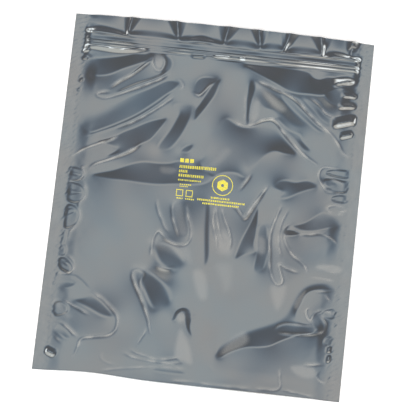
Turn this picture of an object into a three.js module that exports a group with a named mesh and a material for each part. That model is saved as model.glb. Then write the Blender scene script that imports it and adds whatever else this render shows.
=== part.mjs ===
// An anti static shielding bag, empty and lying flat with its press-to-close zip shut.
// Millimetres, +Z up. X runs across the bag and Y runs from the bottom fold to the mouth.
// The bag is one web of metallised film, folded once at the bottom and welded down both
// sides. The two halves of the zip are separate extruded tapes, each welded inside one wall.
// A place along the bag is written as its run: the distance from the bottom fold.

import * as THREE from 'three';

// Driving sizes of the bag
const POCKET_WIDTH = 254;
const SIDE_SEAL = 9.5;
const POCKET_LENGTH = 304.5;
const LIP = 17;
const FILM = 0.076;
const FOLD_HEIGHT = 0.8;
const MOUTH_BOW = 2.2;

// Driving sizes of the zip
const TAPE_WIDTH = 13;
const TAPE_THICKNESS = 0.25;
const TAPE_MARGIN = 0.35;
const RIB_OFFSET = -1.6;
const RIB_NECK = 0.45;
const RIB_HEAD = 0.85;
const GROOVE_DEPTH = 0.95;
const JAW_WALL = 0.5;
const HOOK_HEIGHT = 0.25;
const ZIP_CLEARANCE = 0.1;
const WELD_GAP = 0.05;
const TAPE_END_GAP = 0.4;

// How the empty bag lies
const LOFT = 2.2;
const SEAL_RAMP = 7;
const POCKET_RAMP = 16;
const RAMP_CHANGE = 8;
const POCKET_GAP = 0.25;
const SIDE_HEIGHT = 0.35;
const FOLD_SHOULDER = 20;
const ZIP_SHOULDER = 60;
const FOLD_REACH = 60;
const FOLD_LIFT = 2.4;
const FOLD_LIFT_X = -85;
const FOLD_LIFT_SPREAD = 35;
const FOLD_LIFT_RUN = 60;
const LIP_REST = 0.7;
const LIP_DROP = 0.45;
const LIP_CROWN = 2.2;
const DART_HEIGHT = 3;
const DART_SPREAD = 6;
const TAPE_EDGE_RELIEF = 0.3;
const RIB_RELIEF = 0.45;

// Mesh spacing over the front wall
const CELL = 6.1;
const ROW = 6.7;
const FOLD_ARC_STEPS = 3;

// Worked-out sizes
const POCKET_HALF = POCKET_WIDTH / 2;
const BAG_HALF = POCKET_HALF + SIDE_SEAL;
const ZIP_BAND = TAPE_WIDTH + 2 * TAPE_MARGIN;
const LIP_START = POCKET_LENGTH + ZIP_BAND;
const BAG_LENGTH = LIP_START + LIP;
const BAG_MIDDLE = (BAG_LENGTH + MOUTH_BOW) / 2;
const TAPE_MIDDLE = POCKET_LENGTH + ZIP_BAND / 2;
const RIB_RUN = TAPE_MIDDLE + RIB_OFFSET;
const TAPE_LENGTH = 2 * (POCKET_HALF - SEAL_RAMP - TAPE_END_GAP);
const GROOVE_BASE = FILM + WELD_GAP;
const GROOVE_FLOOR = GROOVE_BASE + TAPE_THICKNESS;
const RIB_BASE = GROOVE_FLOOR + GROOVE_DEPTH + ZIP_CLEARANCE;
const ZIP_TOP = RIB_BASE + TAPE_THICKNESS + WELD_GAP + FILM;

// The folds are drawn on a pocket of this size and follow the real pocket's sides.
const DRAWN_HALF = 127;
const DRAWN_LENGTH = 304.5;
const DRAWN_STEP = 3;

// Each facet is a stretch of film that leans: its outline, the direction in degrees that it
// leans towards, and its slope. Between the facets the film settles as smoothly as it can.
const FACETS = [
  facet('rim under the zip, left', 100, 0.36, [
    [-127, 291], [-110, 295], [-90, 299], [-75, 304], [-64, 305], [-66, 297],
    [-75, 292], [-88, 286], [-100, 279], [-112, 276], [-127, 275]]),
  facet('side of the oval dimple', 20, 0.34, [
    [-55, 305], [-48, 303], [-44, 298], [-45, 291], [-50, 285], [-55, 283], [-52, 290], [-51, 297]]),
  facet('long fold, upper left', 118, 0.26, [
    [-37, 279], [-47, 280], [-60, 272], [-75, 264], [-86, 257], [-98, 250], [-110, 245], [-126, 243],
    [-126, 236], [-112, 224], [-100, 228], [-85, 236], [-72, 244], [-60, 254], [-50, 263], [-39, 273]]),
  facet('second fold, left', 125, 0.24, [
    [-44, 243], [-52, 242], [-62, 238], [-72, 232], [-80, 228], [-90, 221], [-102, 216], [-90, 213],
    [-84, 210], [-92, 203], [-80, 207], [-72, 212], [-64, 217], [-56, 222], [-50, 231]]),
  facet('third fold, left to middle', 92, 0.26, [
    [-103, 184], [-90, 181.5], [-75, 181], [-60, 180], [-45, 180], [-30, 182], [-14, 183], [-2, 186],
    [4, 193], [-8, 199], [-26, 205], [-36, 202], [-47, 201], [-60, 201], [-72, 197], [-86, 190]]),
  facet('left finger', 155, 0.27, [
    [-12, 262], [-16, 254], [-22, 243], [-28, 230], [-38, 220], [-47, 215],
    [-50, 217], [-44, 228], [-39, 238], [-33, 250], [-30, 259]]),
  facet('right finger', 145, 0.32, [
    [0, 284], [-8, 278], [-15, 268], [-20, 258], [-22, 250], [-14, 250], [-8, 260], [-2, 268], [4, 276]]),
  facet('dent above the fingers', 110, 0.42, [
    [-15, 287], [-4, 287], [-3, 284], [-8, 279], [-13, 272], [-17, 269], [-21, 271], [-22, 277], [-20, 283]]),
  facet('broad slope in the middle', 70, 0.33, [
    [9, 250], [18, 247], [28, 244.5], [36, 246], [43, 250], [52, 252], [58, 246], [64, 238], [72, 229],
    [75, 223], [66, 222], [57, 224], [50, 220], [44, 213], [38, 205], [33, 195], [24, 198], [12, 197],
    [4, 192], [-4, 198], [-9, 206], [-5, 213], [-2, 226], [2, 238]]),
  facet('short slope, right', 100, 0.28, [
    [60, 191], [63, 196], [70, 198], [78, 197], [88, 200], [95, 198], [97, 194],
    [90, 191], [82, 187], [76, 183], [70, 180], [66, 181], [68, 186], [62, 188]]),
  facet('rim under the zip, right', 80, 0.4, [
    [22, 303], [50, 304], [78, 303], [84, 297.5], [90, 296], [98, 300], [108, 299], [118, 301], [127, 299],
    [127, 287], [118, 288], [108, 289], [100, 285], [95, 280], [82, 280], [70, 279.5], [62, 281],
    [52, 286], [42, 291], [34, 295], [26, 299]]),
  facet('cup beside the right seal', 30, 0.3, [
    [95, 284], [100, 287], [108, 288], [116, 286], [120, 280], [112, 274], [108, 273], [101, 275], [97, 279]]),
  facet('tent, steep side', 180, 0.34, [
    [28, 287], [31, 286], [33, 280], [31, 268], [30, 256], [31, 248], [28, 247], [27, 256], [26, 270], [27, 282]]),
  facet('tent, hollow', 100, 0.22, [
    [36, 270], [43, 264], [52, 262], [56, 256], [50, 255], [42, 253], [36, 250], [37, 260]]),
  facet('tent, roof', 240, 0.08, [
    [33, 286], [44, 281], [54, 274], [63, 266], [74, 257], [66, 254], [57, 260], [52, 266], [44, 272], [36, 280]]),
  facet('roof valley, upper right', 45, 0.3, [
    [58, 278], [66, 274], [75, 266], [84, 259], [92, 252], [101, 248],
    [96, 246], [86, 252], [76, 259], [67, 266], [59, 273]]),
  facet('eaves valley, right', 45, 0.32, [
    [54, 256], [60, 251], [68, 245], [78, 242], [80, 237], [88, 229],
    [83, 228], [76, 234], [68, 241], [61, 247], [54, 253]]),
  facet('fold from the right seal', 100, 0.24, [
    [80, 156], [88, 159], [95, 164], [102, 170], [108, 172], [126, 170],
    [126, 165], [118, 160], [110, 157], [102, 154], [94, 152.5], [86, 153]]),
  facet('stem, left side', 170, 0.3, [
    [47, 168], [48, 155], [48, 145], [47, 135], [49, 128], [40, 125],
    [32, 121], [33, 130], [36, 140], [40, 150], [44, 160]]),
  facet('stem, right side', 175, 0.22, [
    [50, 152], [56, 153], [58, 145], [60, 130], [58, 115], [56, 112], [49, 112], [50, 125], [49, 140]]),
  facet('upright fold, dark side', 180, 0.36, [
    [0, 168], [4, 167], [5, 150], [6.5, 135], [8, 118], [5, 112], [3.5, 125], [2, 140], [1, 155]]),
  facet('ribbon fold', 350, 0.18, [
    [-28, 165], [-26, 152], [-21, 140], [-14, 136], [-12, 142], [-15, 153], [-17, 164]]),
  facet('blunt dent, lower left', 40, 0.4, [
    [-50, 97], [-44, 99], [-36, 95], [-29, 90], [-23, 83], [-22, 74],
    [-28, 69], [-35, 66], [-39, 70], [-44, 79], [-49, 88]]),
  facet('hooked fold, outer arc', 120, 0.42, [
    [-18, 58], [-16, 66], [-10, 70.5], [-4, 69.5], [2, 64], [-1, 63], [-5, 66.5], [-10, 67.5], [-14, 63], [-15, 58]]),
  facet('hooked fold, inner side', 20, 0.42, [
    [-8, 66], [-3, 66], [-1, 61], [-2, 53], [1, 45], [-3, 49], [-6, 56], [-7, 61]]),
  facet('great fold, lower right', 125, 0.37, [
    [24, 30], [26, 40], [30, 47], [38, 54], [46, 60], [55, 64], [65, 67.5], [74, 72], [80, 78], [84, 86],
    [87, 95], [93, 103], [100, 108], [110, 109], [126, 107], [126, 102], [118, 101], [108, 100], [100, 97],
    [96, 92], [94, 85], [91, 78], [91, 73], [95, 68], [104, 66], [110, 63], [106, 59], [98, 57], [90, 54],
    [80, 49], [70, 43], [60, 41], [50, 40], [40, 36], [33, 32], [28, 28]]),
  facet('fin beside the right seal', 70, 0.42, [
    [106, 70], [107, 77], [111, 79], [118, 80], [126, 77], [122, 73], [117, 71], [115, 66], [112, 63], [107, 66]]),
  facet('lens in the left loop', 60, 0.44, [
    [-98, 70], [-93, 73.5], [-88, 71.5], [-82, 68], [-77, 63], [-73, 58.5],
    [-72, 55], [-76, 54], [-82, 55], [-90, 59], [-97, 62], [-106, 66]]),
  facet('square dent, lower left', 45, 0.42, [
    [-119, 41], [-116, 42], [-106, 33], [-109, 30], [-115, 33], [-121, 37]]),
  facet('slope above the bottom fold', 90, 0.2, [
    [-30, 10.5], [-18, 18], [-11, 17], [-2, 10]]),
  facet('left pucker, top', 165, 0.34, [
    [-126, 189], [-118, 190], [-113, 187], [-112, 182], [-115, 178], [-126, 176]]),
  facet('left pucker, middle', 160, 0.4, [
    [-124, 167], [-110, 170.5], [-108.5, 166], [-110, 161], [-118, 164]]),
  facet('left pucker, bottom', 160, 0.4, [
    [-124, 101], [-118, 104], [-114, 103], [-111.5, 98], [-113, 95], [-117, 97]]),
  facet('right pucker, top', 80, 0.34, [
    [103, 210], [110, 213], [120, 212], [126, 209], [118, 206], [110, 206]]),
  facet('right pucker, middle', 60, 0.36, [
    [101, 203], [106, 204.5], [116, 200], [110, 197], [106, 194.5], [102, 198]]),
  facet('right pucker, bottom', 85, 0.3, [
    [109, 186], [114, 189], [126, 190], [126, 185], [118, 183], [111, 182.5]]),
];

// Where the lip is nipped at the zip tape, as shares of the pocket's half width
const PINCHES = [-1, -0.693, -0.323, 0, 0.268, 0.441, 0.717, 0.906, 1];

// The softness of a facet's edge
const FACET_EDGE = 1.5;

function facet(name, leanDegrees, slope, outline) {
  const lean = THREE.MathUtils.degToRad(leanDegrees);
  return { name, rise: [-slope * Math.cos(lean), -slope * Math.sin(lean)], outline };
}

function smoothstep(value) {
  const t = THREE.MathUtils.clamp(value, 0, 1);
  return t * t * (3 - 2 * t);
}

function segmentDistance(x, y, [ax, ay], [bx, by]) {
  const dx = bx - ax;
  const dy = by - ay;
  const t = THREE.MathUtils.clamp(((x - ax) * dx + (y - ay) * dy) / (dx * dx + dy * dy), 0, 1);
  return Math.hypot(x - ax - t * dx, y - ay - t * dy);
}

// The distance to an outline, negative inside it
function signedDistance(x, y, outline) {
  let distance = Infinity;
  let inside = false;
  outline.forEach((start, i) => {
    const end = outline[(i + 1) % outline.length];
    distance = Math.min(distance, segmentDistance(x, y, start, end));
    const crosses = (start[1] > y) !== (end[1] > y);
    if (crosses && x < start[0] + (end[0] - start[0]) * (y - start[1]) / (end[1] - start[1])) {
      inside = !inside;
    }
  });
  return inside ? -distance : distance;
}

// How steeply the drawn facets rise at a point, along X (axis 0) or Y (axis 1)
function drawnRise(x, y, axis) {
  let rise = 0;
  for (const { outline, rise: slope, box } of FACETS) {
    if (!box.containsPoint({ x, y })) {
      continue;
    }
    const distance = signedDistance(x, y, outline);
    rise += slope[axis] * smoothstep(0.5 - distance / (2 * FACET_EDGE));
  }
  return rise;
}

// Solves for the surface whose slopes come closest to the facets' own, with level edges. A fold
// lifts the film around it over about the fold reach, past which the film lies down again.
// The result is a grid of heights over the drawn pocket.
function settleFolds() {
  for (const item of FACETS) {
    item.box = new THREE.Box2().setFromPoints(item.outline.map(([x, y]) => new THREE.Vector2(x, y)));
    item.box.expandByScalar(FACET_EDGE);
  }
  const across = Math.round(2 * DRAWN_HALF / DRAWN_STEP);
  const along = Math.round(DRAWN_LENGTH / DRAWN_STEP);
  const dx = 2 * DRAWN_HALF / across;
  const dy = DRAWN_LENGTH / along;
  const stride = along + 1;
  const height = new Float64Array((across + 1) * stride);
  const spread = new Float64Array((across + 1) * stride);
  for (let i = 1; i < across; i += 1) {
    for (let j = 1; j < along; j += 1) {
      const x = -DRAWN_HALF + i * dx;
      const y = j * dy;
      spread[i * stride + j] = (drawnRise(x + dx / 2, y, 0) - drawnRise(x - dx / 2, y, 0)) / dx
        + (drawnRise(x, y + dy / 2, 1) - drawnRise(x, y - dy / 2, 1)) / dy;
    }
  }
  const sweeps = 260;
  const overshoot = 1.92;
  const wx = 1 / (dx * dx);
  const wy = 1 / (dy * dy);
  const sag = 1 / (FOLD_REACH * FOLD_REACH);
  for (let sweep = 0; sweep < sweeps; sweep += 1) {
    for (let i = 1; i < across; i += 1) {
      for (let j = 1; j < along; j += 1) {
        const k = i * stride + j;
        const level = (wx * (height[k - stride] + height[k + stride])
          + wy * (height[k - 1] + height[k + 1]) - spread[k]) / (2 * (wx + wy) + sag);
        height[k] += overshoot * (level - height[k]);
      }
    }
  }
  return { height, across, along, stride, dx, dy };
}

// The settled height of the folds at a place in the real pocket
function foldHeight(folds, x, run) {
  const i = THREE.MathUtils.clamp((x / POCKET_HALF + 1) * DRAWN_HALF / folds.dx, 0, folds.across - 1e-6);
  const j = THREE.MathUtils.clamp(run / POCKET_LENGTH * DRAWN_LENGTH / folds.dy, 0, folds.along - 1e-6);
  const k = Math.floor(i) * folds.stride + Math.floor(j);
  const s = i - Math.floor(i);
  const t = j - Math.floor(j);
  const { height, stride } = folds;
  return (height[k] * (1 - s) + height[k + stride] * s) * (1 - t)
    + (height[k + 1] * (1 - s) + height[k + stride + 1] * s) * t;
}

// The pocket's own loft, level at its four edges
function pocketLoft(x, run) {
  const u = x / POCKET_HALF;
  const v = 2 * run / POCKET_LENGTH - 1;
  return LOFT * (1 - u ** 2) * (1 - v ** 4);
}

// The level that the loft and the folds stand on: low in the pocket, up to the zip at its end
function pocketBase(run) {
  const low = THREE.MathUtils.lerp(FOLD_HEIGHT, SIDE_HEIGHT, smoothstep(run / FOLD_SHOULDER));
  return THREE.MathUtils.lerp(low, ZIP_TOP, smoothstep(1 - (POCKET_LENGTH - run) / ZIP_SHOULDER));
}

function bump(distance, spread) {
  return Math.exp(-((distance / spread) ** 2));
}

// The front wall over the shut zip: the tape's two edges and the rib show through the film.
function zipRelief(run) {
  const lowEdge = bump(run - (TAPE_MIDDLE - TAPE_WIDTH / 2 + 1), 0.8);
  const highEdge = bump(run - (TAPE_MIDDLE + TAPE_WIDTH / 2 - 0.5), 0.6);
  const jaws = bump(run - RIB_RUN, RIB_HEAD / 2 + JAW_WALL);
  return TAPE_EDGE_RELIEF * (lowEdge + highEdge) + RIB_RELIEF * jaws;
}

// The lip falls from the zip, then crowns between the nips and buckles into a dart at each.
function lipHeight(x, run) {
  const share = (run - LIP_START) / LIP;
  const place = x / POCKET_HALF;
  const next = Math.max(1, PINCHES.findIndex((pinch) => pinch > place));
  const [left, right] = [PINCHES[next - 1], PINCHES[next]];
  const crown = LIP_CROWN * share * Math.sin(Math.PI * (place - left) / (right - left));
  let dart = 0;
  for (const pinch of PINCHES.slice(1, -1)) {
    dart += DART_HEIGHT * share * bump((place - pinch) * POCKET_HALF, 1 + DART_SPREAD * share);
  }
  const fall = smoothstep(share / LIP_DROP);
  return (ZIP_TOP + dart) * (1 - fall) + (LIP_REST + crown + dart) * fall;
}

// Height of the front wall's outer face
function frontHeight(folds, x, run) {
  const sealed = 2 * FILM;
  const inset = POCKET_HALF - Math.abs(x);
  if (inset <= 0) {
    return sealed;
  }
  let free;
  if (run < POCKET_LENGTH) {
    free = pocketBase(run) + pocketLoft(x, run) + foldHeight(folds, x, run);
  } else if (run <= LIP_START) {
    free = ZIP_TOP + zipRelief(run);
  } else {
    free = lipHeight(x, run);
  }
  const clear = Math.max(free, sealed + POCKET_GAP);
  const inPocket = smoothstep((POCKET_LENGTH - run) / RAMP_CHANGE);
  const ramp = THREE.MathUtils.lerp(SEAL_RAMP, POCKET_RAMP, inPocket);
  return sealed + (clear - sealed) * smoothstep(inset / ramp);
}

// How far the bottom fold is drawn up, left of the middle
function foldLift(x) {
  return FOLD_LIFT * bump(x - FOLD_LIFT_X, FOLD_LIFT_SPREAD);
}

// Y of a point of the flat bag, from its run
function placeY(x, run) {
  if (run <= LIP_START) {
    return run + foldLift(x) * Math.max(0, 1 - run / FOLD_LIFT_RUN) - BAG_MIDDLE;
  }
  const lip = LIP + MOUTH_BOW * (1 - (x / BAG_HALF) ** 2);
  return LIP_START + (run - LIP_START) / LIP * lip - BAG_MIDDLE;
}

// Joins triangles into one closed mesh with shared corners
class Surface {
  constructor() {
    this.points = [];
    this.index = new Map();
    this.faces = [];
  }

  point(x, y, z) {
    const key = [x, y, z].map((value) => Math.round(value * 1e4)).join();
    if (!this.index.has(key)) {
      this.index.set(key, this.points.length / 3);
      this.points.push(x, y, z);
    }
    return this.index.get(key);
  }

  triangle(a, b, c) {
    if (a !== b && b !== c && c !== a) {
      this.faces.push(a, b, c);
    }
  }

  quad(a, b, c, d) {
    this.triangle(a, b, c);
    this.triangle(a, c, d);
  }

  // Fills a flat loop from its middle
  fan(middle, loop) {
    loop.forEach((point, i) => this.triangle(middle, point, loop[(i + 1) % loop.length]));
  }

  geometry() {
    const geometry = new THREE.BufferGeometry();
    geometry.setAttribute('position', new THREE.Float32BufferAttribute(this.points, 3));
    geometry.setIndex(this.faces);
    geometry.computeVertexNormals();
    return geometry;
  }
}

function evenSteps(start, end, spacing) {
  const count = Math.round((end - start) / spacing);
  return Array.from({ length: count + 1 }, (unused, i) => start + (end - start) * i / count);
}

// The places of the mesh columns across the bag: each side seal is one column wide.
function columnPlaces() {
  const ramp = POCKET_HALF - SEAL_RAMP;
  return [-BAG_HALF, -POCKET_HALF, ...evenSteps(-ramp, ramp, CELL), POCKET_HALF, BAG_HALF];
}

// The runs of the mesh rows, from the top of the bottom fold to the mouth
function rowRuns() {
  const tapeStart = TAPE_MIDDLE - TAPE_WIDTH / 2;
  const jaws = RIB_HEAD / 2 + JAW_WALL;
  const zip = [tapeStart + 1, RIB_RUN - 2 * jaws, RIB_RUN, RIB_RUN + 2 * jaws, LIP_START - 1];
  const lip = [0, 0.15, 0.3, LIP_DROP, 0.7, 1].map((share) => LIP_START + share * LIP);
  return [...evenSteps(0, POCKET_LENGTH, ROW), ...zip, ...lip];
}

// The film pouch: the outer skin, and the inner skin that opens only at the mouth
function filmPouch() {
  const folds = settleFolds();
  const columns = columnPlaces();
  const runs = rowRuns();
  const surface = new Surface();
  const firstWeld = 1;
  const lastWeld = columns.length - 2;
  const lastColumn = columns.length - 1;
  const lastRow = runs.length - 1;
  const isOpen = (i) => i > firstWeld && i < lastWeld;
  const foldRadius = (i) => (isOpen(i) ? FOLD_HEIGHT / 2 : FILM);
  const yAt = (i, j) => placeY(columns[i], j === 0 ? foldRadius(i) : runs[j]);

  const outer = columns.map((x, i) => runs.map((run, j) => {
    const height = j === 0 ? 2 * foldRadius(i) : frontHeight(folds, x, run);
    return { height, point: surface.point(x, yAt(i, j), height) };
  }));
  const slopeAt = (i, j) => {
    const rows = [Math.max(j - 1, 0), Math.min(j + 1, lastRow)];
    const across = (outer[i + 1][j].height - outer[i - 1][j].height) / (columns[i + 1] - columns[i - 1]);
    const along = (outer[i][rows[1]].height - outer[i][rows[0]].height) / (runs[rows[1]] - runs[rows[0]]);
    return Math.hypot(across, along);
  };
  const inner = columns.map((x, i) => runs.map((run, j) => {
    if (i < firstWeld || i > lastWeld) {
      return null;
    }
    const wall = isOpen(i) && j > 0 ? FILM * Math.hypot(1, slopeAt(i, j)) : FILM;
    return surface.point(x, yAt(i, j), isOpen(i) ? outer[i][j].height - wall : FILM);
  }));
  const backInner = (i, j) => surface.point(columns[i], yAt(i, j), FILM);
  const backOuter = (i, j) => surface.point(columns[i], yAt(i, j), 0);

  for (let j = 0; j < lastRow; j += 1) {
    for (let i = 0; i < lastColumn; i += 1) {
      surface.quad(outer[i][j].point, outer[i + 1][j].point, outer[i + 1][j + 1].point, outer[i][j + 1].point);
      if (i >= firstWeld && i < lastWeld) {
        surface.quad(inner[i][j], inner[i][j + 1], inner[i + 1][j + 1], inner[i + 1][j]);
      }
    }
    surface.quad(backOuter(0, j), outer[0][j].point, outer[0][j + 1].point, backOuter(0, j + 1));
    surface.quad(backOuter(lastColumn, j + 1), outer[lastColumn][j + 1].point,
      outer[lastColumn][j].point, backOuter(lastColumn, j));
  }

  const arc = (i, radius, step) => {
    const turn = Math.PI * step / FOLD_ARC_STEPS;
    const y = placeY(columns[i], foldRadius(i)) - radius * Math.sin(turn);
    return surface.point(columns[i], y, foldRadius(i) + radius * Math.cos(turn));
  };
  for (let step = 0; step < FOLD_ARC_STEPS; step += 1) {
    for (let i = 0; i < lastColumn; i += 1) {
      const [near, far] = [foldRadius(i), foldRadius(i + 1)];
      surface.quad(arc(i, near, step + 1), arc(i + 1, far, step + 1), arc(i + 1, far, step), arc(i, near, step));
      if (i >= firstWeld && i < lastWeld) {
        const [inNear, inFar] = [near - FILM, far - FILM];
        surface.quad(arc(i, inNear, step), arc(i + 1, inFar, step),
          arc(i + 1, inFar, step + 1), arc(i, inNear, step + 1));
      }
    }
    surface.triangle(backOuter(0, 0), arc(0, FILM, step + 1), arc(0, FILM, step));
    surface.triangle(backOuter(lastColumn, 0), arc(lastColumn, FILM, step), arc(lastColumn, FILM, step + 1));
  }

  for (let i = firstWeld; i < lastWeld; i += 1) {
    surface.quad(outer[i][lastRow].point, outer[i + 1][lastRow].point, inner[i + 1][lastRow], inner[i][lastRow]);
    surface.quad(backInner(i, lastRow), backInner(i + 1, lastRow),
      backOuter(i + 1, lastRow), backOuter(i, lastRow));
  }
  for (const [edge, weld] of [[0, firstWeld], [lastColumn, lastWeld]]) {
    const cap = [outer[edge][lastRow].point, outer[weld][lastRow].point, backInner(weld, lastRow),
      backOuter(weld, lastRow), backOuter(edge, lastRow)];
    const [start, ...rest] = edge === 0 ? cap : cap.reverse();
    for (let i = 1; i < rest.length; i += 1) {
      surface.triangle(start, rest[i - 1], rest[i]);
    }
  }

  const range = (from, to) => Array.from({ length: Math.abs(to - from) },
    (unused, n) => from + Math.sign(to - from) * n);
  const loop = (first, last, at) => [
    ...range(first, last).map((i) => at(i, 0)), ...range(0, lastRow).map((j) => at(last, j)),
    ...range(last, first).map((i) => at(i, lastRow)), ...range(lastRow, 0).map((j) => at(first, j))];
  surface.fan(surface.point(0, 0, FILM), loop(firstWeld, lastWeld, backInner));
  surface.fan(surface.point(0, 0, 0), loop(0, lastColumn, backOuter).reverse());
  return surface.geometry();
}

// Extrudes a zip profile, drawn across the tape and upwards, along the width of the bag
function extrudeTape(profile) {
  const shape = new THREE.Shape(profile.map(([y, z]) => new THREE.Vector2(y, z)));
  const geometry = new THREE.ExtrudeGeometry(shape, { depth: TAPE_LENGTH, bevelEnabled: false });
  const across = new THREE.Vector3(0, 1, 0);
  const up = new THREE.Vector3(0, 0, 1);
  const along = new THREE.Vector3(1, 0, 0);
  geometry.applyMatrix4(new THREE.Matrix4().makeBasis(across, up, along));
  geometry.translate(-TAPE_LENGTH / 2, 0, 0);
  return geometry;
}

// The tape on the front wall, with its headed rib hanging down into the groove
function ribTrack() {
  const halfTape = TAPE_WIDTH / 2;
  const neck = RIB_NECK / 2;
  const head = RIB_HEAD / 2;
  const top = TAPE_THICKNESS;
  const headTop = -(HOOK_HEIGHT + 2 * ZIP_CLEARANCE);
  const tip = -GROOVE_DEPTH;
  const chamfer = head / 2;
  return extrudeTape([
    [halfTape, 0], [halfTape, top], [-halfTape, top], [-halfTape, 0],
    [RIB_OFFSET - neck, 0], [RIB_OFFSET - neck, headTop], [RIB_OFFSET - head, headTop],
    [RIB_OFFSET - head, tip + chamfer], [RIB_OFFSET - chamfer, tip],
    [RIB_OFFSET + chamfer, tip], [RIB_OFFSET + head, tip + chamfer],
    [RIB_OFFSET + head, headTop], [RIB_OFFSET + neck, headTop], [RIB_OFFSET + neck, 0]]);
}

// The tape on the back wall, with the two hooked jaws that hold the rib
function grooveTrack() {
  const halfTape = TAPE_WIDTH / 2;
  const floor = TAPE_THICKNESS;
  const top = floor + GROOVE_DEPTH;
  const under = top - HOOK_HEIGHT;
  const inside = RIB_HEAD / 2 + ZIP_CLEARANCE;
  const mouth = RIB_NECK / 2 + ZIP_CLEARANCE;
  const outside = inside + JAW_WALL;
  return extrudeTape([
    [-halfTape, 0], [halfTape, 0], [halfTape, floor],
    [RIB_OFFSET + outside, floor], [RIB_OFFSET + outside, top], [RIB_OFFSET + mouth, top],
    [RIB_OFFSET + mouth, under], [RIB_OFFSET + inside, under], [RIB_OFFSET + inside, floor],
    [RIB_OFFSET - inside, floor], [RIB_OFFSET - inside, under], [RIB_OFFSET - mouth, under],
    [RIB_OFFSET - mouth, top], [RIB_OFFSET - outside, top], [RIB_OFFSET - outside, floor],
    [-halfTape, floor]]);
}

function named(name, geometry, material) {
  const mesh = new THREE.Mesh(geometry, material);
  mesh.name = name;
  return mesh;
}

const film = new THREE.MeshStandardMaterial({ color: 0x8a9094, roughness: 0.22, metalness: 0.9 });
const tape = new THREE.MeshStandardMaterial({ color: 0xc9cbc8, roughness: 0.45, metalness: 0 });

const bag = new THREE.Group();
bag.add(named('film_pouch', filmPouch(), film));

const rib = named('zip_rib_track', ribTrack(), tape);
rib.position.set(0, TAPE_MIDDLE - BAG_MIDDLE, RIB_BASE);
bag.add(rib);

const groove = named('zip_groove_track', grooveTrack(), tape);
groove.position.set(0, TAPE_MIDDLE - BAG_MIDDLE, GROOVE_BASE);
bag.add(groove);

export default bag;
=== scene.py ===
"""The looks of an empty anti static shielding bag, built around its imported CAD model.

Blender works in metres, in the CAD model's own frame. The film is drawn in millimetres: x runs
across the bag from its middle, and run is the distance from the bottom fold towards the mouth.
"""

import logging
import math
from dataclasses import dataclass, field
from enum import Enum

import bmesh
import bpy
import numpy as np
from mathutils import Matrix, Vector


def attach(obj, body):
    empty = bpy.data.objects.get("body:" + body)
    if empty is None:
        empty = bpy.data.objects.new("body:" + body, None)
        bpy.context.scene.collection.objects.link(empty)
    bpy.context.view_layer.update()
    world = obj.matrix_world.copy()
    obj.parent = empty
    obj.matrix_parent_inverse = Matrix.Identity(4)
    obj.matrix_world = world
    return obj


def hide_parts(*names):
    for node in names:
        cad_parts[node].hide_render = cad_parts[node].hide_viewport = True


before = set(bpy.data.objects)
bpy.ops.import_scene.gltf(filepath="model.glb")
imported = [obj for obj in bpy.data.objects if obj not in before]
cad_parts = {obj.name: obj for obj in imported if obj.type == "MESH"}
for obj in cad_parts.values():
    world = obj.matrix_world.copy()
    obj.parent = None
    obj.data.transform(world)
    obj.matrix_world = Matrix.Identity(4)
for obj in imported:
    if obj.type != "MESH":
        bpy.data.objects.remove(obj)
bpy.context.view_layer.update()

LOG = logging.getLogger("shielding_bag")
MM = 0.001
FAR = 1e9

Array = np.ndarray
Object = bpy.types.Object
Socket = bpy.types.NodeSocket
Point = tuple[float, float]
Colour = tuple[float, float, float]


class Slot(Enum):
    """Names for the material slots."""

    FILM = "shielding_film"
    TAPE = "zip_tape"
    PRINT = "yellow_print"


@dataclass(frozen=True)
class Facet:
    """Film that leans one way, in degrees, with its rise over run and a soft edge in millimetres."""

    name: str
    lean: float
    slope: float
    edge: float
    outline: tuple[Point, ...]


@dataclass(frozen=True)
class Crease:
    """A ridge pressed into the film along a line, or a valley where the height is below zero."""

    name: str
    height: float
    half_width: float
    line: tuple[Point, ...]


@dataclass(frozen=True)
class Bulge:
    """A rounded bulge of the film with a steep edge. Millimetres."""

    name: str
    height: float
    edge: float
    outline: tuple[Point, ...]


@dataclass(frozen=True)
class PaintedHighlightPatch:
    """Film painted lighter as a painted highlight that stands in for a bright reflection, with the
    strength from 0 to 1.
    """

    name: str
    strength: float
    edge: float
    outline: tuple[Point, ...]


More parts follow.
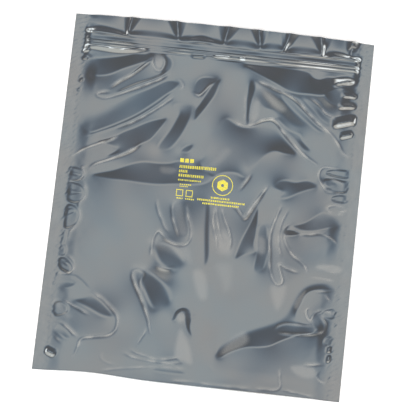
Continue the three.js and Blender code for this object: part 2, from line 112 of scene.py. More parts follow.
# Facets of the pocket: name, lean in degrees, slope, edge and outline
FACETS: tuple[Facet, ...] = (
    Facet("rim under the zip, left", 100, 0.46, 1.5, (
        (-119, 293), (-110, 295), (-90, 299), (-75, 304), (-64, 305), (-66, 297), (-75, 292),
        (-88, 286), (-100, 279), (-112, 277), (-119, 280))),
    Facet("side of the oval dimple", 20, 0.34, 0.8, (
        (-55, 305), (-48, 303), (-44, 298), (-45, 291), (-50, 285), (-55, 283), (-52, 290),
        (-51, 297))),
    Facet("wedge left of the dimple", 140, 0.5, 0.6, (
        (-62, 298), (-66, 296), (-72, 289), (-78, 284), (-82, 280), (-76, 287), (-70, 293))),
    Facet("long fold, upper left", 118, 0.32, 1.2, (
        (-37, 279), (-47, 280), (-60, 272), (-75, 264), (-86, 257), (-98, 250), (-110, 245),
        (-126, 243), (-126, 236), (-112, 224), (-100, 228), (-85, 236), (-72, 244), (-60, 254),
        (-50, 263), (-39, 273))),
    Facet("second fold, left", 125, 0.36, 1, (
        (-44, 243), (-52, 242), (-62, 238), (-72, 232), (-80, 228), (-90, 221), (-102, 216),
        (-90, 213), (-84, 210), (-92, 203), (-80, 207), (-72, 212), (-64, 217), (-56, 222),
        (-50, 231))),
    Facet("third fold, left to middle", 92, 0.34, 1.2, (
        (-103, 184), (-90, 181.5), (-75, 181), (-60, 180), (-45, 180), (-30, 182), (-14, 183),
        (-2, 186), (4, 193), (-8, 199), (-26, 205), (-36, 202), (-47, 201), (-60, 201), (-72, 197),
        (-86, 190))),
    Facet("dent above the fingers", 110, 0.42, 0.8, (
        (-15, 287), (-4, 287), (-3, 284), (-8, 279), (-13, 272), (-17, 269), (-21, 271),
        (-22, 277), (-20, 283))),
    Facet("short slope, right", 100, 0.4, 1.5, (
        (60, 191), (63, 196), (70, 198), (78, 197), (88, 200), (95, 198), (97, 194), (90, 191),
        (82, 187), (76, 183), (70, 180), (66, 181), (68, 186), (62, 188))),
    Facet("rim under the zip, right", 80, 0.5, 1.2, (
        (22, 303), (50, 304), (78, 303), (84, 297.5), (90, 296), (98, 300), (108, 299), (118, 301),
        (127, 299), (127, 287), (118, 288), (108, 289), (100, 285), (95, 280), (82, 280),
        (70, 279.5), (62, 281), (52, 286), (42, 291), (34, 295), (26, 299))),
    Facet("cup beside the right seal", 30, 0.42, 1, (
        (95, 284), (100, 287), (108, 288), (116, 286), (120, 280), (112, 274), (108, 273),
        (101, 275), (97, 279))),
    Facet("tent, steep side", 180, 0.34, 0.6, (
        (28, 287), (31, 286), (33, 280), (31, 268), (30, 256), (31, 248), (28, 247), (27, 256),
        (26, 270), (27, 282))),
    Facet("tent, hollow", 100, 0.3, 1.5, (
        (36, 270), (43, 264), (52, 262), (56, 256), (50, 255), (42, 253), (36, 250), (37, 260))),
    Facet("roof valley, upper right", 45, 0.3, 0.8, (
        (58, 278), (66, 274), (75, 266), (84, 259), (92, 252), (101, 248), (96, 246), (86, 252),
        (76, 259), (67, 266), (59, 273))),
    Facet("outer valley, upper right", 50, 0.26, 1, (
        (78, 275), (84, 274), (92, 269), (98, 263), (107, 259), (104, 255), (96, 258), (90, 264),
        (84, 269))),
    Facet("eaves valley, right", 45, 0.32, 0.8, (
        (54, 256), (60, 251), (68, 245), (78, 242), (80, 237), (88, 229), (83, 228), (76, 234),
        (68, 241), (61, 247), (54, 253))),
    Facet("fold from the right seal", 100, 0.34, 1, (
        (80, 156), (88, 159), (95, 164), (102, 170), (108, 172), (126, 170), (126, 165),
        (118, 160), (110, 157), (102, 154), (94, 152.5), (86, 153))),
    Facet("wedge under that fold", 100, 0.5, 0.6, (
        (73, 151), (80, 152), (86, 149), (82, 147), (74, 146))),
    Facet("stem, left side", 170, 0.42, 1, (
        (47, 168), (48, 155), (48, 145), (47, 135), (49, 128), (40, 125), (32, 121), (33, 130),
        (36, 140), (40, 150), (44, 160))),
    Facet("stem, right side", 175, 0.34, 1, (
        (50, 152), (56, 153), (58, 145), (60, 130), (58, 115), (56, 112), (49, 112), (50, 125),
        (49, 140))),
    Facet("upright fold, dark side", 180, 0.28, 1.8, (
        (0, 168), (4, 167), (5, 150), (6.5, 135), (8, 118), (5, 112), (3.5, 125), (2, 140),
        (1, 155))),
    Facet("ribbon fold", 350, 0.28, 1.2, (
        (-28, 165), (-26, 152), (-21, 140), (-14, 136), (-12, 142), (-15, 153), (-17, 164))),
    Facet("hooked fold, outer arc", 120, 0.42, 0.7, (
        (-18, 58), (-16, 66), (-10, 70.5), (-4, 69.5), (2, 64), (-1, 63), (-5, 66.5), (-10, 67.5),
        (-14, 63), (-15, 58))),
    Facet("hooked fold, inner side", 20, 0.42, 0.8, (
        (-8, 66), (-3, 66), (-1, 61), (-2, 53), (1, 45), (-3, 49), (-6, 56), (-7, 61))),
    Facet("great fold, lower right", 125, 0.46, 0.9, (
        (24, 30), (26, 40), (30, 47), (38, 54), (46, 60), (55, 64), (65, 67.5), (74, 72), (80, 78),
        (84, 86), (87, 95), (93, 103), (100, 108), (110, 109), (126, 107), (126, 102), (118, 101),
        (108, 100), (100, 97), (96, 92), (94, 85), (91, 78), (91, 73), (95, 68), (104, 66),
        (110, 63), (106, 59), (98, 57), (90, 54), (80, 49), (70, 43), (60, 41), (50, 40), (40, 36),
        (33, 32), (28, 28))),
    Facet("fin beside the right seal", 70, 0.42, 0.8, (
        (106, 70), (107, 77), (111, 79), (118, 80), (126, 77), (122, 73), (117, 71), (115, 66),
        (112, 63), (107, 66))),
    Facet("lens in the left loop", 60, 0.4, 2, (
        (-98, 70), (-93, 73.5), (-88, 71.5), (-82, 68), (-77, 63), (-73, 58.5), (-72, 55),
        (-76, 54), (-82, 55), (-90, 59), (-97, 62), (-106, 66))),
    Facet("lens beside the left seal", 100, 0.32, 1, (
        (-126, 80), (-118, 82.5), (-108, 82), (-110, 78.5), (-118, 76.5), (-125, 77.5))),
    Facet("square dent, lower left", 45, 0.42, 0.8, (
        (-119, 41), (-116, 42), (-106, 33), (-109, 30), (-115, 33), (-121, 37))),
    Facet("slope above the bottom fold", 90, 0.3, 1.2, (
        (-30, 10.5), (-18, 18), (-11, 17), (-2, 10))),
    Facet("right pucker, middle", 60, 0.36, 0.8, (
        (101, 203), (106, 204.5), (116, 200), (110, 197), (106, 194.5), (102, 198))),
    Facet("left finger", 155, 0.34, 1.8, (
        (-22, 257), (-24, 242), (-30, 226), (-38, 215), (-46, 214), (-48, 218), (-40, 232),
        (-35, 243), (-33, 251), (-38, 258))),
    Facet("right finger", 145, 0.4, 1.4, (
        (0, 285), (-2, 272), (-7, 262), (-13, 252), (-18, 245), (-19, 253), (-15, 261), (-12, 268),
        (-8, 276), (-5, 282))),
    Facet("small dent between the fingers", 120, 0.36, 1.2, (
        (-27, 214), (-22, 213), (-18, 217), (-18, 221), (-22, 220), (-26, 217))),
    Facet("blunt dent, lower left", 40, 0.5, 2.6, (
        (-50, 97), (-44, 99), (-36, 95), (-29, 90), (-23, 83), (-22, 74), (-28, 69), (-35, 66),
        (-39, 70), (-44, 79), (-49, 88))),
    Facet("blunt dent above it", 60, 0.5, 3, (
        (-40, 124), (-30, 127), (-20, 122), (-14, 112), (-20, 104), (-30, 105), (-37, 112))),
    Facet("broad slope in the middle", 70, 0.4, 1.5, (
        (9, 250), (18, 247), (28, 244.5), (36, 246), (43, 250), (52, 252), (58, 246), (64, 238),
        (72, 229), (75, 223), (66, 222), (57, 224), (50, 220), (44, 213), (38, 205), (33, 195),
        (24, 198), (12, 197), (4, 192), (-4, 198), (-9, 206), (-5, 213), (-2, 226), (2, 238))),
    Facet("broad slope, steeper end", 70, 0.13, 3, (
        (34, 243), (48, 248), (58, 243), (66, 232), (72, 225), (60, 222), (50, 218), (42, 208),
        (36, 203), (30, 212), (30, 228))),
    Facet("tent, roof", 240, 0.1, 2, (
        (40, 281), (54, 274), (66, 264), (80, 252), (72, 250), (60, 259), (50, 267), (40, 274))),
)

# Facets of the lip, in the same terms
LIP_FACETS: tuple[Facet, ...] = (
    Facet("left dart's face", 200, 0.9, 0.5, (
        (-90, 322), (-88, 322), (-86, 317.5), (-88, 318))),
    Facet("fifth dart's face", 340, 0.9, 0.6, (
        (54, 318.5), (56.5, 319), (59, 325), (58, 326), (56, 324))),
    Facet("seventh dart's face", 340, 0.9, 0.6, (
        (89.5, 318), (92, 319), (93, 323), (92, 328), (90.5, 328), (90, 323))),
    Facet("right corner's face", 330, 0.9, 0.6, (
        (114, 327), (116, 328), (117.5, 333), (117, 337), (115.5, 336), (115.5, 331))),
    Facet("crescent, left", 90, 0.25, 1, (
        (-126, 329), (-126, 319), (-92, 319), (-100, 324), (-112, 327))),
    Facet("crescent, middle", 80, 0.3, 0.8, (
        (-32, 321), (-20, 326.5), (-8, 322), (-12, 320.5), (-26, 320.5))),
    Facet("crescent, right", 80, 0.4, 0.8, (
        (100, 324), (108, 325), (116, 322), (120, 319), (104, 318.5))),
)

# Creases: name, height, half width and line. A height below zero is a valley.
CREASES: tuple[Crease, ...] = (
    Crease("loop left", 0.55, 1.3, (
        (-93, 76), (-85, 72), (-77, 66), (-70, 60), (-66.5, 54), (-66, 47), (-68, 41), (-74, 36.5),
        (-85, 34), (-93, 32.5), (-97, 30), (-98, 25), (-100, 17), (-102, 12))),
    Crease("loop left back", -0.5, 1.2, (
        (-126, 85), (-112, 88.5), (-104, 85.5), (-98, 80.5), (-93, 76))),
    Crease("left line a", 0.5, 1, (
        (-118, 67), (-110, 63), (-100, 58), (-91, 53.5))),
    Crease("left line b", 0.55, 1.2, (
        (-125, 46), (-117, 45), (-110, 41), (-103, 35), (-98, 31))),
    Crease("left line c", 0.5, 1, (
        (-123, 35), (-118, 30), (-112, 25))),
    Crease("left line d", 0.4, 0.9, (
        (-123, 35), (-121, 39), (-117, 43))),
    Crease("centre left", 0.6, 1.3, (
        (-58, 101), (-57, 92), (-52, 82), (-47, 73), (-43, 65), (-39, 55), (-37, 47), (-35, 41))),
    Crease("centre left branch", 0.4, 1.1, (
        (-40, 50), (-41, 44), (-44, 38), (-48, 29))),
    Crease("foot line", 0.45, 1.1, (
        (-54, 28), (-48, 25), (-40, 23), (-28, 21), (-16, 22.5), (-10, 24), (-2, 18))),
    Crease("foot line b", 0.25, 1.2, (
        (-76, 22), (-77, 16), (-72, 12), (-60, 10))),
    Crease("ribbon edge", 0.5, 1.2, (
        (-43, 112), (-43.5, 122), (-43, 131), (-39, 138), (-31, 131), (-22, 127.5), (-14, 128.5),
        (-10, 135), (-11, 145), (-14, 153), (-17, 166))),
    Crease("ribbon edge b", 0.45, 1.1, (
        (-30, 166), (-28, 152), (-23, 140), (-20, 133))),
    Crease("thin edge", 0.5, 1.1, (
        (9, 166), (8, 155), (10, 145), (13, 136), (14, 128), (18, 124))),
    Crease("thin edge b", 0.5, 1.1, (
        (14, 167), (18, 156), (23, 146), (26, 135), (25, 125))),
    Crease("y left", 0.5, 1.2, (
        (22, 168), (28, 166), (32, 162), (35, 159))),
    Crease("y right", 0.6, 1.3, (
        (55, 192), (48, 180), (42, 170), (37, 160), (34, 156))),
    Crease("y upper", 0.5, 1.2, (
        (39, 201), (33, 190), (28, 181))),
    Crease("long right", 0.55, 1.2, (
        (68, 175), (65, 165), (61.5, 152), (60.5, 140), (62, 126), (63, 116), (66, 107),
        (70, 101.5), (74, 101), (75.5, 105), (73, 112), (71.5, 119), (80, 116), (92, 113.5))),
    Crease("loop right", 0.5, 1.2, (
        (80, 159), (74, 155), (72.5, 149), (74, 141), (78, 134), (83, 128.5), (90, 124), (95, 119),
        (97, 112))),
    Crease("right fork", 0.5, 1.1, (
        (84, 148.5), (95, 149.5), (105, 151.5), (112, 149.5), (118, 146.5), (123, 142))),
    Crease("right fork b", 0.4, 1, (
        (105, 151.5), (112, 155))),
    Crease("fin edge", 0.5, 1.1, (
        (126, 78), (118, 81), (111, 80.5), (106.5, 77), (104, 71), (101, 73), (99, 79), (101, 82),
        (105, 81))),
    Crease("belly edge", 0.4, 1, (
        (73, 58), (76, 63), (84, 66), (98, 66), (108, 65))),
    Crease("belly edge b", 0.5, 1.1, (
        (75, 56.5), (90, 56), (105, 58), (115, 61.5), (118, 68), (115, 74), (110, 79))),
    Crease("back edge", 0.4, 1.1, (
        (95, 107), (101, 110.5), (112, 110.5), (123, 109.5))),
    Crease("under edge", 0.4, 1, (
        (104, 98), (112, 98.5), (120, 100.5), (126, 101))),
    Crease("under edge b", 0.4, 1, (
        (113, 98), (118, 92.5), (125, 87))),
    Crease("seal fold", 0.5, 1.2, (
        (103, 118), (115, 121.5), (121, 122), (126, 118))),
    Crease("corner line", 0.5, 1.3, (
        (100, 29.5), (110, 31), (118, 32.5), (126, 32))),
    Crease("corner line b", 0.45, 1.2, (
        (117, 27), (114, 22), (118, 17), (126, 15))),
    Crease("corner line c", 0.4, 1.1, (
        (81, 25), (82, 15), (83, 8), (78, 4.5), (60, 4))),
    Crease("corner line d", 0.4, 1, (
        (83, 6), (100, 4), (116, 2))),
    Crease("fork low", 0.4, 1.1, (
        (18, 22), (21, 17.5), (24, 14))),
    Crease("tent left", 0.35, 1, (
        (25.5, 282), (25, 268), (26, 256), (27, 247))),
    Crease("tent foot", 0.6, 1.3, (
        (16, 249), (22, 246.5), (28, 245.5), (35, 247.5), (42, 252), (50, 254.5), (56, 251),
        (62, 243.5), (68, 237.5), (76, 229.5), (84, 222.5), (92, 217.5), (99, 213.5))),
    Crease("tent roof", 0.6, 1.3, (
        (31, 289), (45, 284), (60, 278.5), (72, 273), (80, 266), (88, 258.5), (98, 251),
        (107, 244), (114, 235), (119, 228.5), (126, 225))),
    Crease("outer roof", 0.45, 1, (
        (82, 277), (92, 272), (98, 265), (107, 260.5), (106, 256))),
    Crease("seal loop", 0.5, 1.1, (
        (120, 214), (110, 214.5), (101, 213.5), (98, 208), (99, 202), (103, 196), (108, 191.5),
        (122, 191.5))),
    Crease("seal loop b", 0.45, 1, (
        (104, 206.5), (112, 203.5), (120, 200.5), (123, 196))),
    Crease("seal loop c", 0.4, 1, (
        (122, 180), (126, 176), (118, 174), (111, 173.5), (107.5, 176))),
    Crease("left roof", 0.6, 1.2, (
        (-126, 198), (-119, 204), (-112, 208.5), (-102, 213.5), (-92, 218.5), (-84, 224))),
    Crease("left roof b", 0.6, 1.3, (
        (-62, 219), (-70, 211), (-80, 205), (-92, 199), (-103, 194), (-109, 188))),
    Crease("lens foot", -0.4, 1.1, (
        (-40, 270), (-50, 259), (-60, 250), (-72, 241), (-85, 233), (-100, 225.5), (-116, 218))),
    Crease("lens foot b", 0.4, 1.2, (
        (-38, 266), (-50, 255), (-62, 245.5), (-75, 236.5), (-90, 229))),
    Crease("vee upper", 0.5, 1.1, (
        (-62, 298), (-70, 290), (-80, 281), (-90, 274), (-99, 266))),
    Crease("vee lower", -0.55, 1.2, (
        (-46, 291), (-51, 285.5), (-60, 279.5), (-75, 272.5), (-93, 262))),
    Crease("vee lower b", 0.45, 1.1, (
        (-44, 288), (-52, 281.5), (-62, 276), (-78, 268), (-95, 259.5), (-104, 257.5), (-109, 260),
        (-103, 263), (-95, 263))),
    Crease("oval ring", 0.45, 1.1, (
        (-62, 303), (-62, 295), (-58, 288.5), (-53, 289.5), (-51, 297), (-54, 306))),
    Crease("boot edge", 0.4, 1, (
        (-3, 284), (-8, 279.5), (-13, 272.5), (-17, 268.5), (-22, 270), (-26, 272))),
    Crease("tip edge", 0.35, 1, (
        (-41, 282), (-35, 281), (-32, 276), (-36, 270.5))),
    Crease("left pucker a", 0.4, 1, (
        (-127, 176), (-118, 177.5), (-113, 180), (-111, 185), (-114, 190), (-108, 192))),
    Crease("left pucker b", 0.4, 1.1, (
        (-112, 178), (-108.5, 170), (-108.5, 162), (-113, 155), (-111, 148), (-110.5, 141),
        (-114, 134), (-118, 128), (-119, 118))),
    Crease("left pucker c", 0.4, 1, (
        (-122, 108), (-116, 106.5), (-111, 101), (-110.5, 94.5), (-117, 90.5), (-127, 91.5))),
    Crease("pale band right", 0.4, 1.2, (
        (75, 172), (70, 160), (68, 148), (69, 136), (73, 124))),
    Crease("seal loop d", 0.45, 1.1, (
        (126, 178), (116, 180), (109, 177), (111, 173), (119, 172), (126, 173))),
    Crease("seal fold b", 0.45, 1.2, (
        (104, 117.5), (112, 118.5), (126, 117))),
    Crease("seal fold c", -0.35, 1.1, (
        (126, 124), (116, 123), (106, 119))),
    Crease("ring fold", 0.45, 1.3, (
        (26, 172), (31, 164), (36, 158), (40, 163), (46, 174), (52, 186))),
    Crease("tongue edge", 0.45, 1.2, (
        (9, 168), (11, 158), (14, 146), (17, 138), (22, 133))),
    Crease("shoulder line", 0.4, 1.4, (
        (-40, 107), (-34, 104), (-26, 104), (-20, 107))),
    Crease("small upright", 0.4, 1.1, (
        (-44, 168), (-42, 158), (-37, 148), (-33, 141), (-28, 137))),
    Crease("low left line", 0.35, 1.2, (
        (-60, 97), (-54, 100), (-48, 97), (-50, 88), (-47, 78))),
    Crease("foot line", 0.4, 1.3, (
        (-60, 24), (-48, 20), (-30, 18.5), (-14, 19), (-2, 22))),
    Crease("foot line b", 0.3, 1.4, (
        (-78, 3), (-60, 8), (-40, 12), (-20, 15), (0, 15))),
    Crease("foot line c", 0.3, 1.2, (
        (-15, 3), (5, 4), (30, 3), (60, 3.5))),
)

# Bulges: name, height, edge and outline
BULGES: tuple[Bulge, ...] = (
    Bulge("left, top", 0.5, 2.4, (
        (-127, 189), (-120, 190), (-113, 188), (-110.5, 183), (-113, 178), (-119, 176),
        (-127, 177))),
    Bulge("left, top ridge", 0.3, 1.3, (
        (-125, 185), (-119, 185), (-114, 182), (-118, 181), (-124, 182))),
    Bulge("left, second", 0.6, 2.7, (
        (-127, 176), (-118, 175.5), (-111, 172.5), (-107.5, 166), (-109.5, 159), (-115, 155.5),
        (-121, 156), (-127, 161))),
    Bulge("left, second ridge", 0.35, 1.5, (
        (-125, 169), (-117, 168), (-111, 166), (-116, 164), (-123, 163))),
    Bulge("left, third", 0.6, 2.6, (
        (-125, 153), (-119, 155), (-113, 151.5), (-110.5, 145), (-112, 137), (-118, 132),
        (-123.5, 131.5), (-125.5, 140))),
    Bulge("left, third ridge", 0.35, 1.5, (
        (-124, 149), (-119, 151), (-115, 148), (-119, 145), (-124, 143))),
    Bulge("left, narrow", 0.4, 1.6, (
        (-124, 130), (-121, 130), (-120.5, 123), (-122, 117), (-126, 118))),
    Bulge("left, fourth", 0.4, 1.7, (
        (-127, 117), (-121.5, 117.5), (-118.5, 113), (-119.5, 107), (-123, 105.5), (-127, 106))),
    Bulge("left, fifth", 0.6, 2.5, (
        (-126, 104.5), (-119, 105), (-113, 100.5), (-110.5, 95), (-113, 90.5), (-119, 91.5),
        (-125, 96))),
    Bulge("left, fifth ridge", 0.3, 1.3, (
        (-122, 101.5), (-117, 101), (-114, 97), (-119, 98))),
    Bulge("left, sixth", 0.4, 1.6, (
        (-127, 93), (-122.5, 92), (-122, 87.5), (-125, 82), (-127, 84))),
    Bulge("left, above the loop", 0.45, 2.2, (
        (-125, 62), (-119, 65), (-112, 62), (-110, 56), (-114, 52), (-121, 50), (-125, 54))),
    Bulge("right, upper", 0.5, 2, (
        (127, 213), (118, 214), (109, 213), (103, 209.5), (109, 206.5), (118, 205.5), (127, 206))),
    Bulge("right, middle", 0.55, 2.3, (
        (127, 203), (119, 204), (110, 205), (103, 203), (103, 197), (109, 192.5), (117, 191),
        (127, 193))),
    Bulge("right, lower", 0.45, 1.9, (
        (127, 189.5), (118, 190), (111, 187), (112, 183.5), (119, 182), (127, 183))),
    Bulge("right, at the fin", 0.45, 1.8, (
        (127, 84), (119, 83.5), (113, 80), (114, 76), (120, 74), (127, 76))),
    Bulge("right, low", 0.4, 1.8, (
        (127, 58), (121, 59), (117, 55), (118, 50), (127, 49))),
)

# Puckers by the seals, steep on one side: name, height, half width and line
PUCKERS: tuple[Crease, ...] = (
    Crease("right pucker 1", 2.02, 1.65, (
        (102, 290.5), (112, 294), (123, 296.5))),
    Crease("right pucker 2", 1.26, 1, (
        (111, 281.5), (119, 282.5), (127, 282))),
    Crease("right pucker 3", 1.43, 1.15, (
        (109, 270), (118, 272), (127, 273))),
    Crease("right pucker 4", 2.27, 1.85, (
        (105, 251.5), (116, 255.5), (124, 258), (129, 256.5))),
    Crease("right pucker 5", 1.6, 1.3, (
        (113, 242), (121, 245), (127, 247))),
    Crease("lower left pearl", 1.76, 1.4, (
        (-129.5, 17.5), (-123.5, 15), (-117.5, 12))),
    Crease("under the zip, left", 1.09, 0.9, (
        (-64, 307.8), (-80, 306.8), (-95, 305.8), (-110, 306.4), (-128, 306.5))),
    Crease("under the zip, left of the middle", 0.76, 0.7, (
        (-13, 307), (-21, 306.8), (-30, 306.3))),
    Crease("under the zip, middle", 0.76, 0.7, (
        (10, 308.6), (0, 308.6), (-10, 308.2))),
    Crease("under the zip, right of the middle", 0.67, 0.6, (
        (22, 309), (15, 308.8))),
    Crease("right seal, low 1", 1.01, 0.8, (
        (124, 34), (125, 42))),
    Crease("right seal, low 2", 1.01, 0.8, (
        (124, 43), (124.5, 50))),
    Crease("left seal, high 1", 0.92, 0.8, (
        (-128, 299), (-119, 301))),
    Crease("left seal, high 2", 0.84, 0.7, (
        (-128, 292), (-120, 293))),
    Crease("left seal, high 3", 0.84, 0.7, (
        (-128, 269), (-122, 273))),
    Crease("left seal, high 4", 0.76, 0.6, (
        (-128, 260.5), (-124, 262))),
    Crease("zip end, left 1", 1.01, 0.8, (
        (-127, 320), (-119, 318.5))),
    Crease("zip end, right 1", 1.01, 0.8, (
        (120, 316), (127, 320))),
)

# Painted highlights, film painted lighter where it should mirror bright light: name, strength, edge and
# outline
PAINTED_HIGHLIGHT_PATCHES: tuple[PaintedHighlightPatch, ...] = (
    PaintedHighlightPatch("between the upright creases", 0.24, 4.5, (
        (12, 138), (14, 128), (20, 124), (28, 125), (28, 135), (24, 142), (17, 144))),
    PaintedHighlightPatch("tongue below the middle", 0.2, 3, (
        (-4, 104), (3, 106), (8, 98), (10, 82), (5, 80), (0, 88))),
    PaintedHighlightPatch("hook's foot", 0.24, 2.4, (
        (-10, 50), (-12, 38), (-12, 26), (-4, 22), (3, 20), (1, 32), (-5, 45))),
    PaintedHighlightPatch("hook's crown", 0.21, 2.1, (
        (-14, 63), (-10, 66), (-7, 62), (-9, 57), (-13, 57))),
    PaintedHighlightPatch("great fold's tip", 0.27, 3, (
        (29, 32), (32, 41), (39, 49), (47, 54), (51, 47), (46, 40), (36, 34))),
    PaintedHighlightPatch("tent, left strip", 0.2, 2.4, (
        (34, 272), (38, 270), (38, 256), (35, 250), (32, 252), (32, 264))),
    PaintedHighlightPatch("tent, under the roof", 0.24, 3, (
        (33, 286), (42, 281), (52, 273), (62, 264), (56, 262), (46, 270), (37, 279))),
    PaintedHighlightPatch("stem, light strip", 0.2, 2.4, (
        (50, 142), (56, 140), (57, 128), (52, 128))),
    PaintedHighlightPatch("corner, lower right", 0.24, 2.1, (
        (91, 27), (104, 29.5), (112, 27), (112, 20), (104, 18.5), (96, 21))),
    PaintedHighlightPatch("left of the blotches", 0.16, 3.75, (
        (-47, 128), (-38, 134), (-26, 127), (-12, 126), (-8, 112), (-16, 116), (-30, 121),
        (-40, 122))),
    PaintedHighlightPatch("above the blunt dent", 0.13, 3.75, (
        (-58, 103), (-46, 104), (-34, 98), (-20, 100), (-26, 93), (-38, 96))),
    PaintedHighlightPatch("beside the tongue", 0.11, 4.5, (
        (16, 112), (28, 113), (30, 96), (26, 90), (22, 98))),
    PaintedHighlightPatch("oval dimple", 0.21, 2.1, (
        (-61, 301), (-58, 304), (-54, 303), (-52, 297), (-54, 291), (-59, 292))),
    PaintedHighlightPatch("third lens, light island", 0.16, 2.1, (
        (-44, 197), (-36, 198), (-29, 196), (-33, 192), (-42, 192))),
    PaintedHighlightPatch("strip in the middle", 0.13, 3, (
        (0, 204), (6, 212), (12, 221), (17, 219), (12, 210), (5, 203))),
    PaintedHighlightPatch("band right of the stem", 0.12, 3.75, (
        (63, 165), (68, 165), (74, 150), (74, 125), (78, 108), (70, 100), (64, 112), (62, 140))),
    PaintedHighlightPatch("under the seal's fold", 0.24, 1.5, (
        (104, 121), (112, 124), (126, 123), (126, 118), (112, 118.5))),
    PaintedHighlightPatch("below the fork", 0.2, 3, (
        (66, 98), (72, 102), (79, 100), (78, 88), (74, 78), (70, 84))),
    PaintedHighlightPatch("great fold's tail", 0.22, 1.8, (
        (88, 84), (92, 93), (97, 98), (95, 88), (91, 80))),
    PaintedHighlightPatch("ribbon fold", 0.14, 2.4, (
        (-29, 165), (-25, 150), (-20, 138), (-13, 138), (-17, 150), (-22, 165))),
    PaintedHighlightPatch("lower left corner", 0.18, 3, (
        (-126, 64), (-119, 65), (-114, 58), (-108, 51), (-113, 50), (-119, 57))),
)




def smoothstep(value: Array) -> Array:
    """Eases from 0 to 1 with level ends."""
    share = np.clip(value, 0.0, 1.0)
    return share * share * (3 - 2 * share)


def smooth_line(points: tuple[Point, ...], closed: bool, step: float = 2.0) -> Array:
    """Draws a Catmull-Rom curve through points.

    Args:
        points: The points that the curve passes through.
        closed: Whether the last point joins the first.
        step: The spacing along the curve.

    Returns:
        The curve's points, one row each.
    """
    given = np.asarray(points, float)
    count = len(given)
    drawn = []
    for i in range(count if closed else count - 1):
        if closed:
            a, b, c, d = (given[(i + k) % count] for k in (-1, 0, 1, 2))
        else:
            a, b, c, d = (given[min(max(i + k, 0), count - 1)] for k in (-1, 0, 1, 2))
        steps = max(2, int(np.hypot(*(c - b)) / step))
        for t in np.arange(steps) / steps:
            drawn.append(0.5 * (2 * b + (c - a) * t + (2 * a - 5 * b + 4 * c - d) * t * t
                                + (3 * b - a - 3 * c + d) * t ** 3))
    if not closed:
        drawn.append(given[-1])
    return np.array(drawn)


def segment_distance(x: Array, y: Array, start: Array,
                     end: Array) -> tuple[Array, Array]:
    """Measures the distance to a segment, and the share along it of the nearest point."""
    dx, dy = end - start
    share = np.clip(((x - start[0]) * dx + (y - start[1]) * dy) / max(dx * dx + dy * dy, 1e-9), 0, 1)
    return np.hypot(x - start[0] - share * dx, y - start[1] - share * dy), share


def signed_distance(x: Array, y: Array, outline: Array) -> Array:
    """Measures the distance to a closed outline, negative inside it."""
    distance = np.full(x.shape, FAR)
    inside = np.zeros(x.shape, bool)
    for i, start in enumerate(outline):
        end = outline[(i + 1) % len(outline)]
        distance = np.minimum(distance, segment_distance(x, y, start, end)[0])
        if start[1] != end[1]:
            edge_x = start[0] + (end[0] - start[0]) * (y - start[1]) / (end[1] - start[1])
            inside ^= ((start[1] > y) != (end[1] > y)) & (x < edge_x)
    return np.where(inside, -distance, distance)


def near(x: Array, y: Array, points: Array, margin: float) -> Array:
    """Marks the places inside the box of some points, widened by a margin."""
    (left, low), (right, high) = points.min(0) - margin, points.max(0) + margin
    return (x > left) & (x < right) & (y > low) & (y < high)


def along_line(x: Array, y: Array, line: Array) -> tuple[Array, Array, Array, float]:
    """Measures some places against an open line.

    Args:
        x: Places across the bag.
        y: Places along the bag.
        line: The line's points.

    Returns:
        Each place's distance from the line, how far along the line its nearest point lies, the
        side that the place is on, as 1 or -1, and the line's length.
    """
    nearest = np.full(x.shape, FAR)
    along = np.zeros(x.shape)
    side = np.ones(x.shape)
    travelled = 0.0
    for start, end in zip(line[:-1], line[1:]):
        distance, share = segment_distance(x, y, start, end)
        length = math.dist(start, end)
        turn = (end[0] - start[0]) * (y - start[1]) - (end[1] - start[1]) * (x - start[0])
        along = np.where(distance < nearest, travelled + share * length, along)
        side = np.where(distance < nearest, np.sign(turn), side)
        nearest = np.minimum(nearest, distance)
        travelled += length
    return nearest, along, side, travelled


def sine_transform(values: Array) -> Array:
    """Takes the two-way discrete sine transform of a grid."""
    for _ in range(2):
        rows = len(values)
        odd = np.zeros((2 * rows + 2, values.shape[1]))
        odd[1:rows + 1] = values
        odd[rows + 2:] = -values[::-1]
        values = (-np.fft.fft(odd, axis=0).imag[1:rows + 1] / 2).T
    return values


@dataclass(frozen=True)
class Ripple:
    """Plane waves of about one length, in random directions from a fixed seed."""

    height: float
    wave: float
    seed: int
    count: int = 24

    def at(self, x: Array, y: Array) -> Array:
        """Gives the waves at some places, with a spread of about the ripple's height."""
        draw = np.random.default_rng(self.seed)
        total = np.zeros(np.broadcast(x, y).shape)
        for _ in range(self.count):
            turn = draw.uniform(0, math.pi)
            pitch = 2 * math.pi / (self.wave * draw.uniform(0.7, 1.5))
            phase = draw.uniform(0, 2 * math.pi)
            total += np.cos(pitch * (x * math.cos(turn) + y * math.sin(turn)) + phase)
        return self.height * total / math.sqrt(self.count / 2)


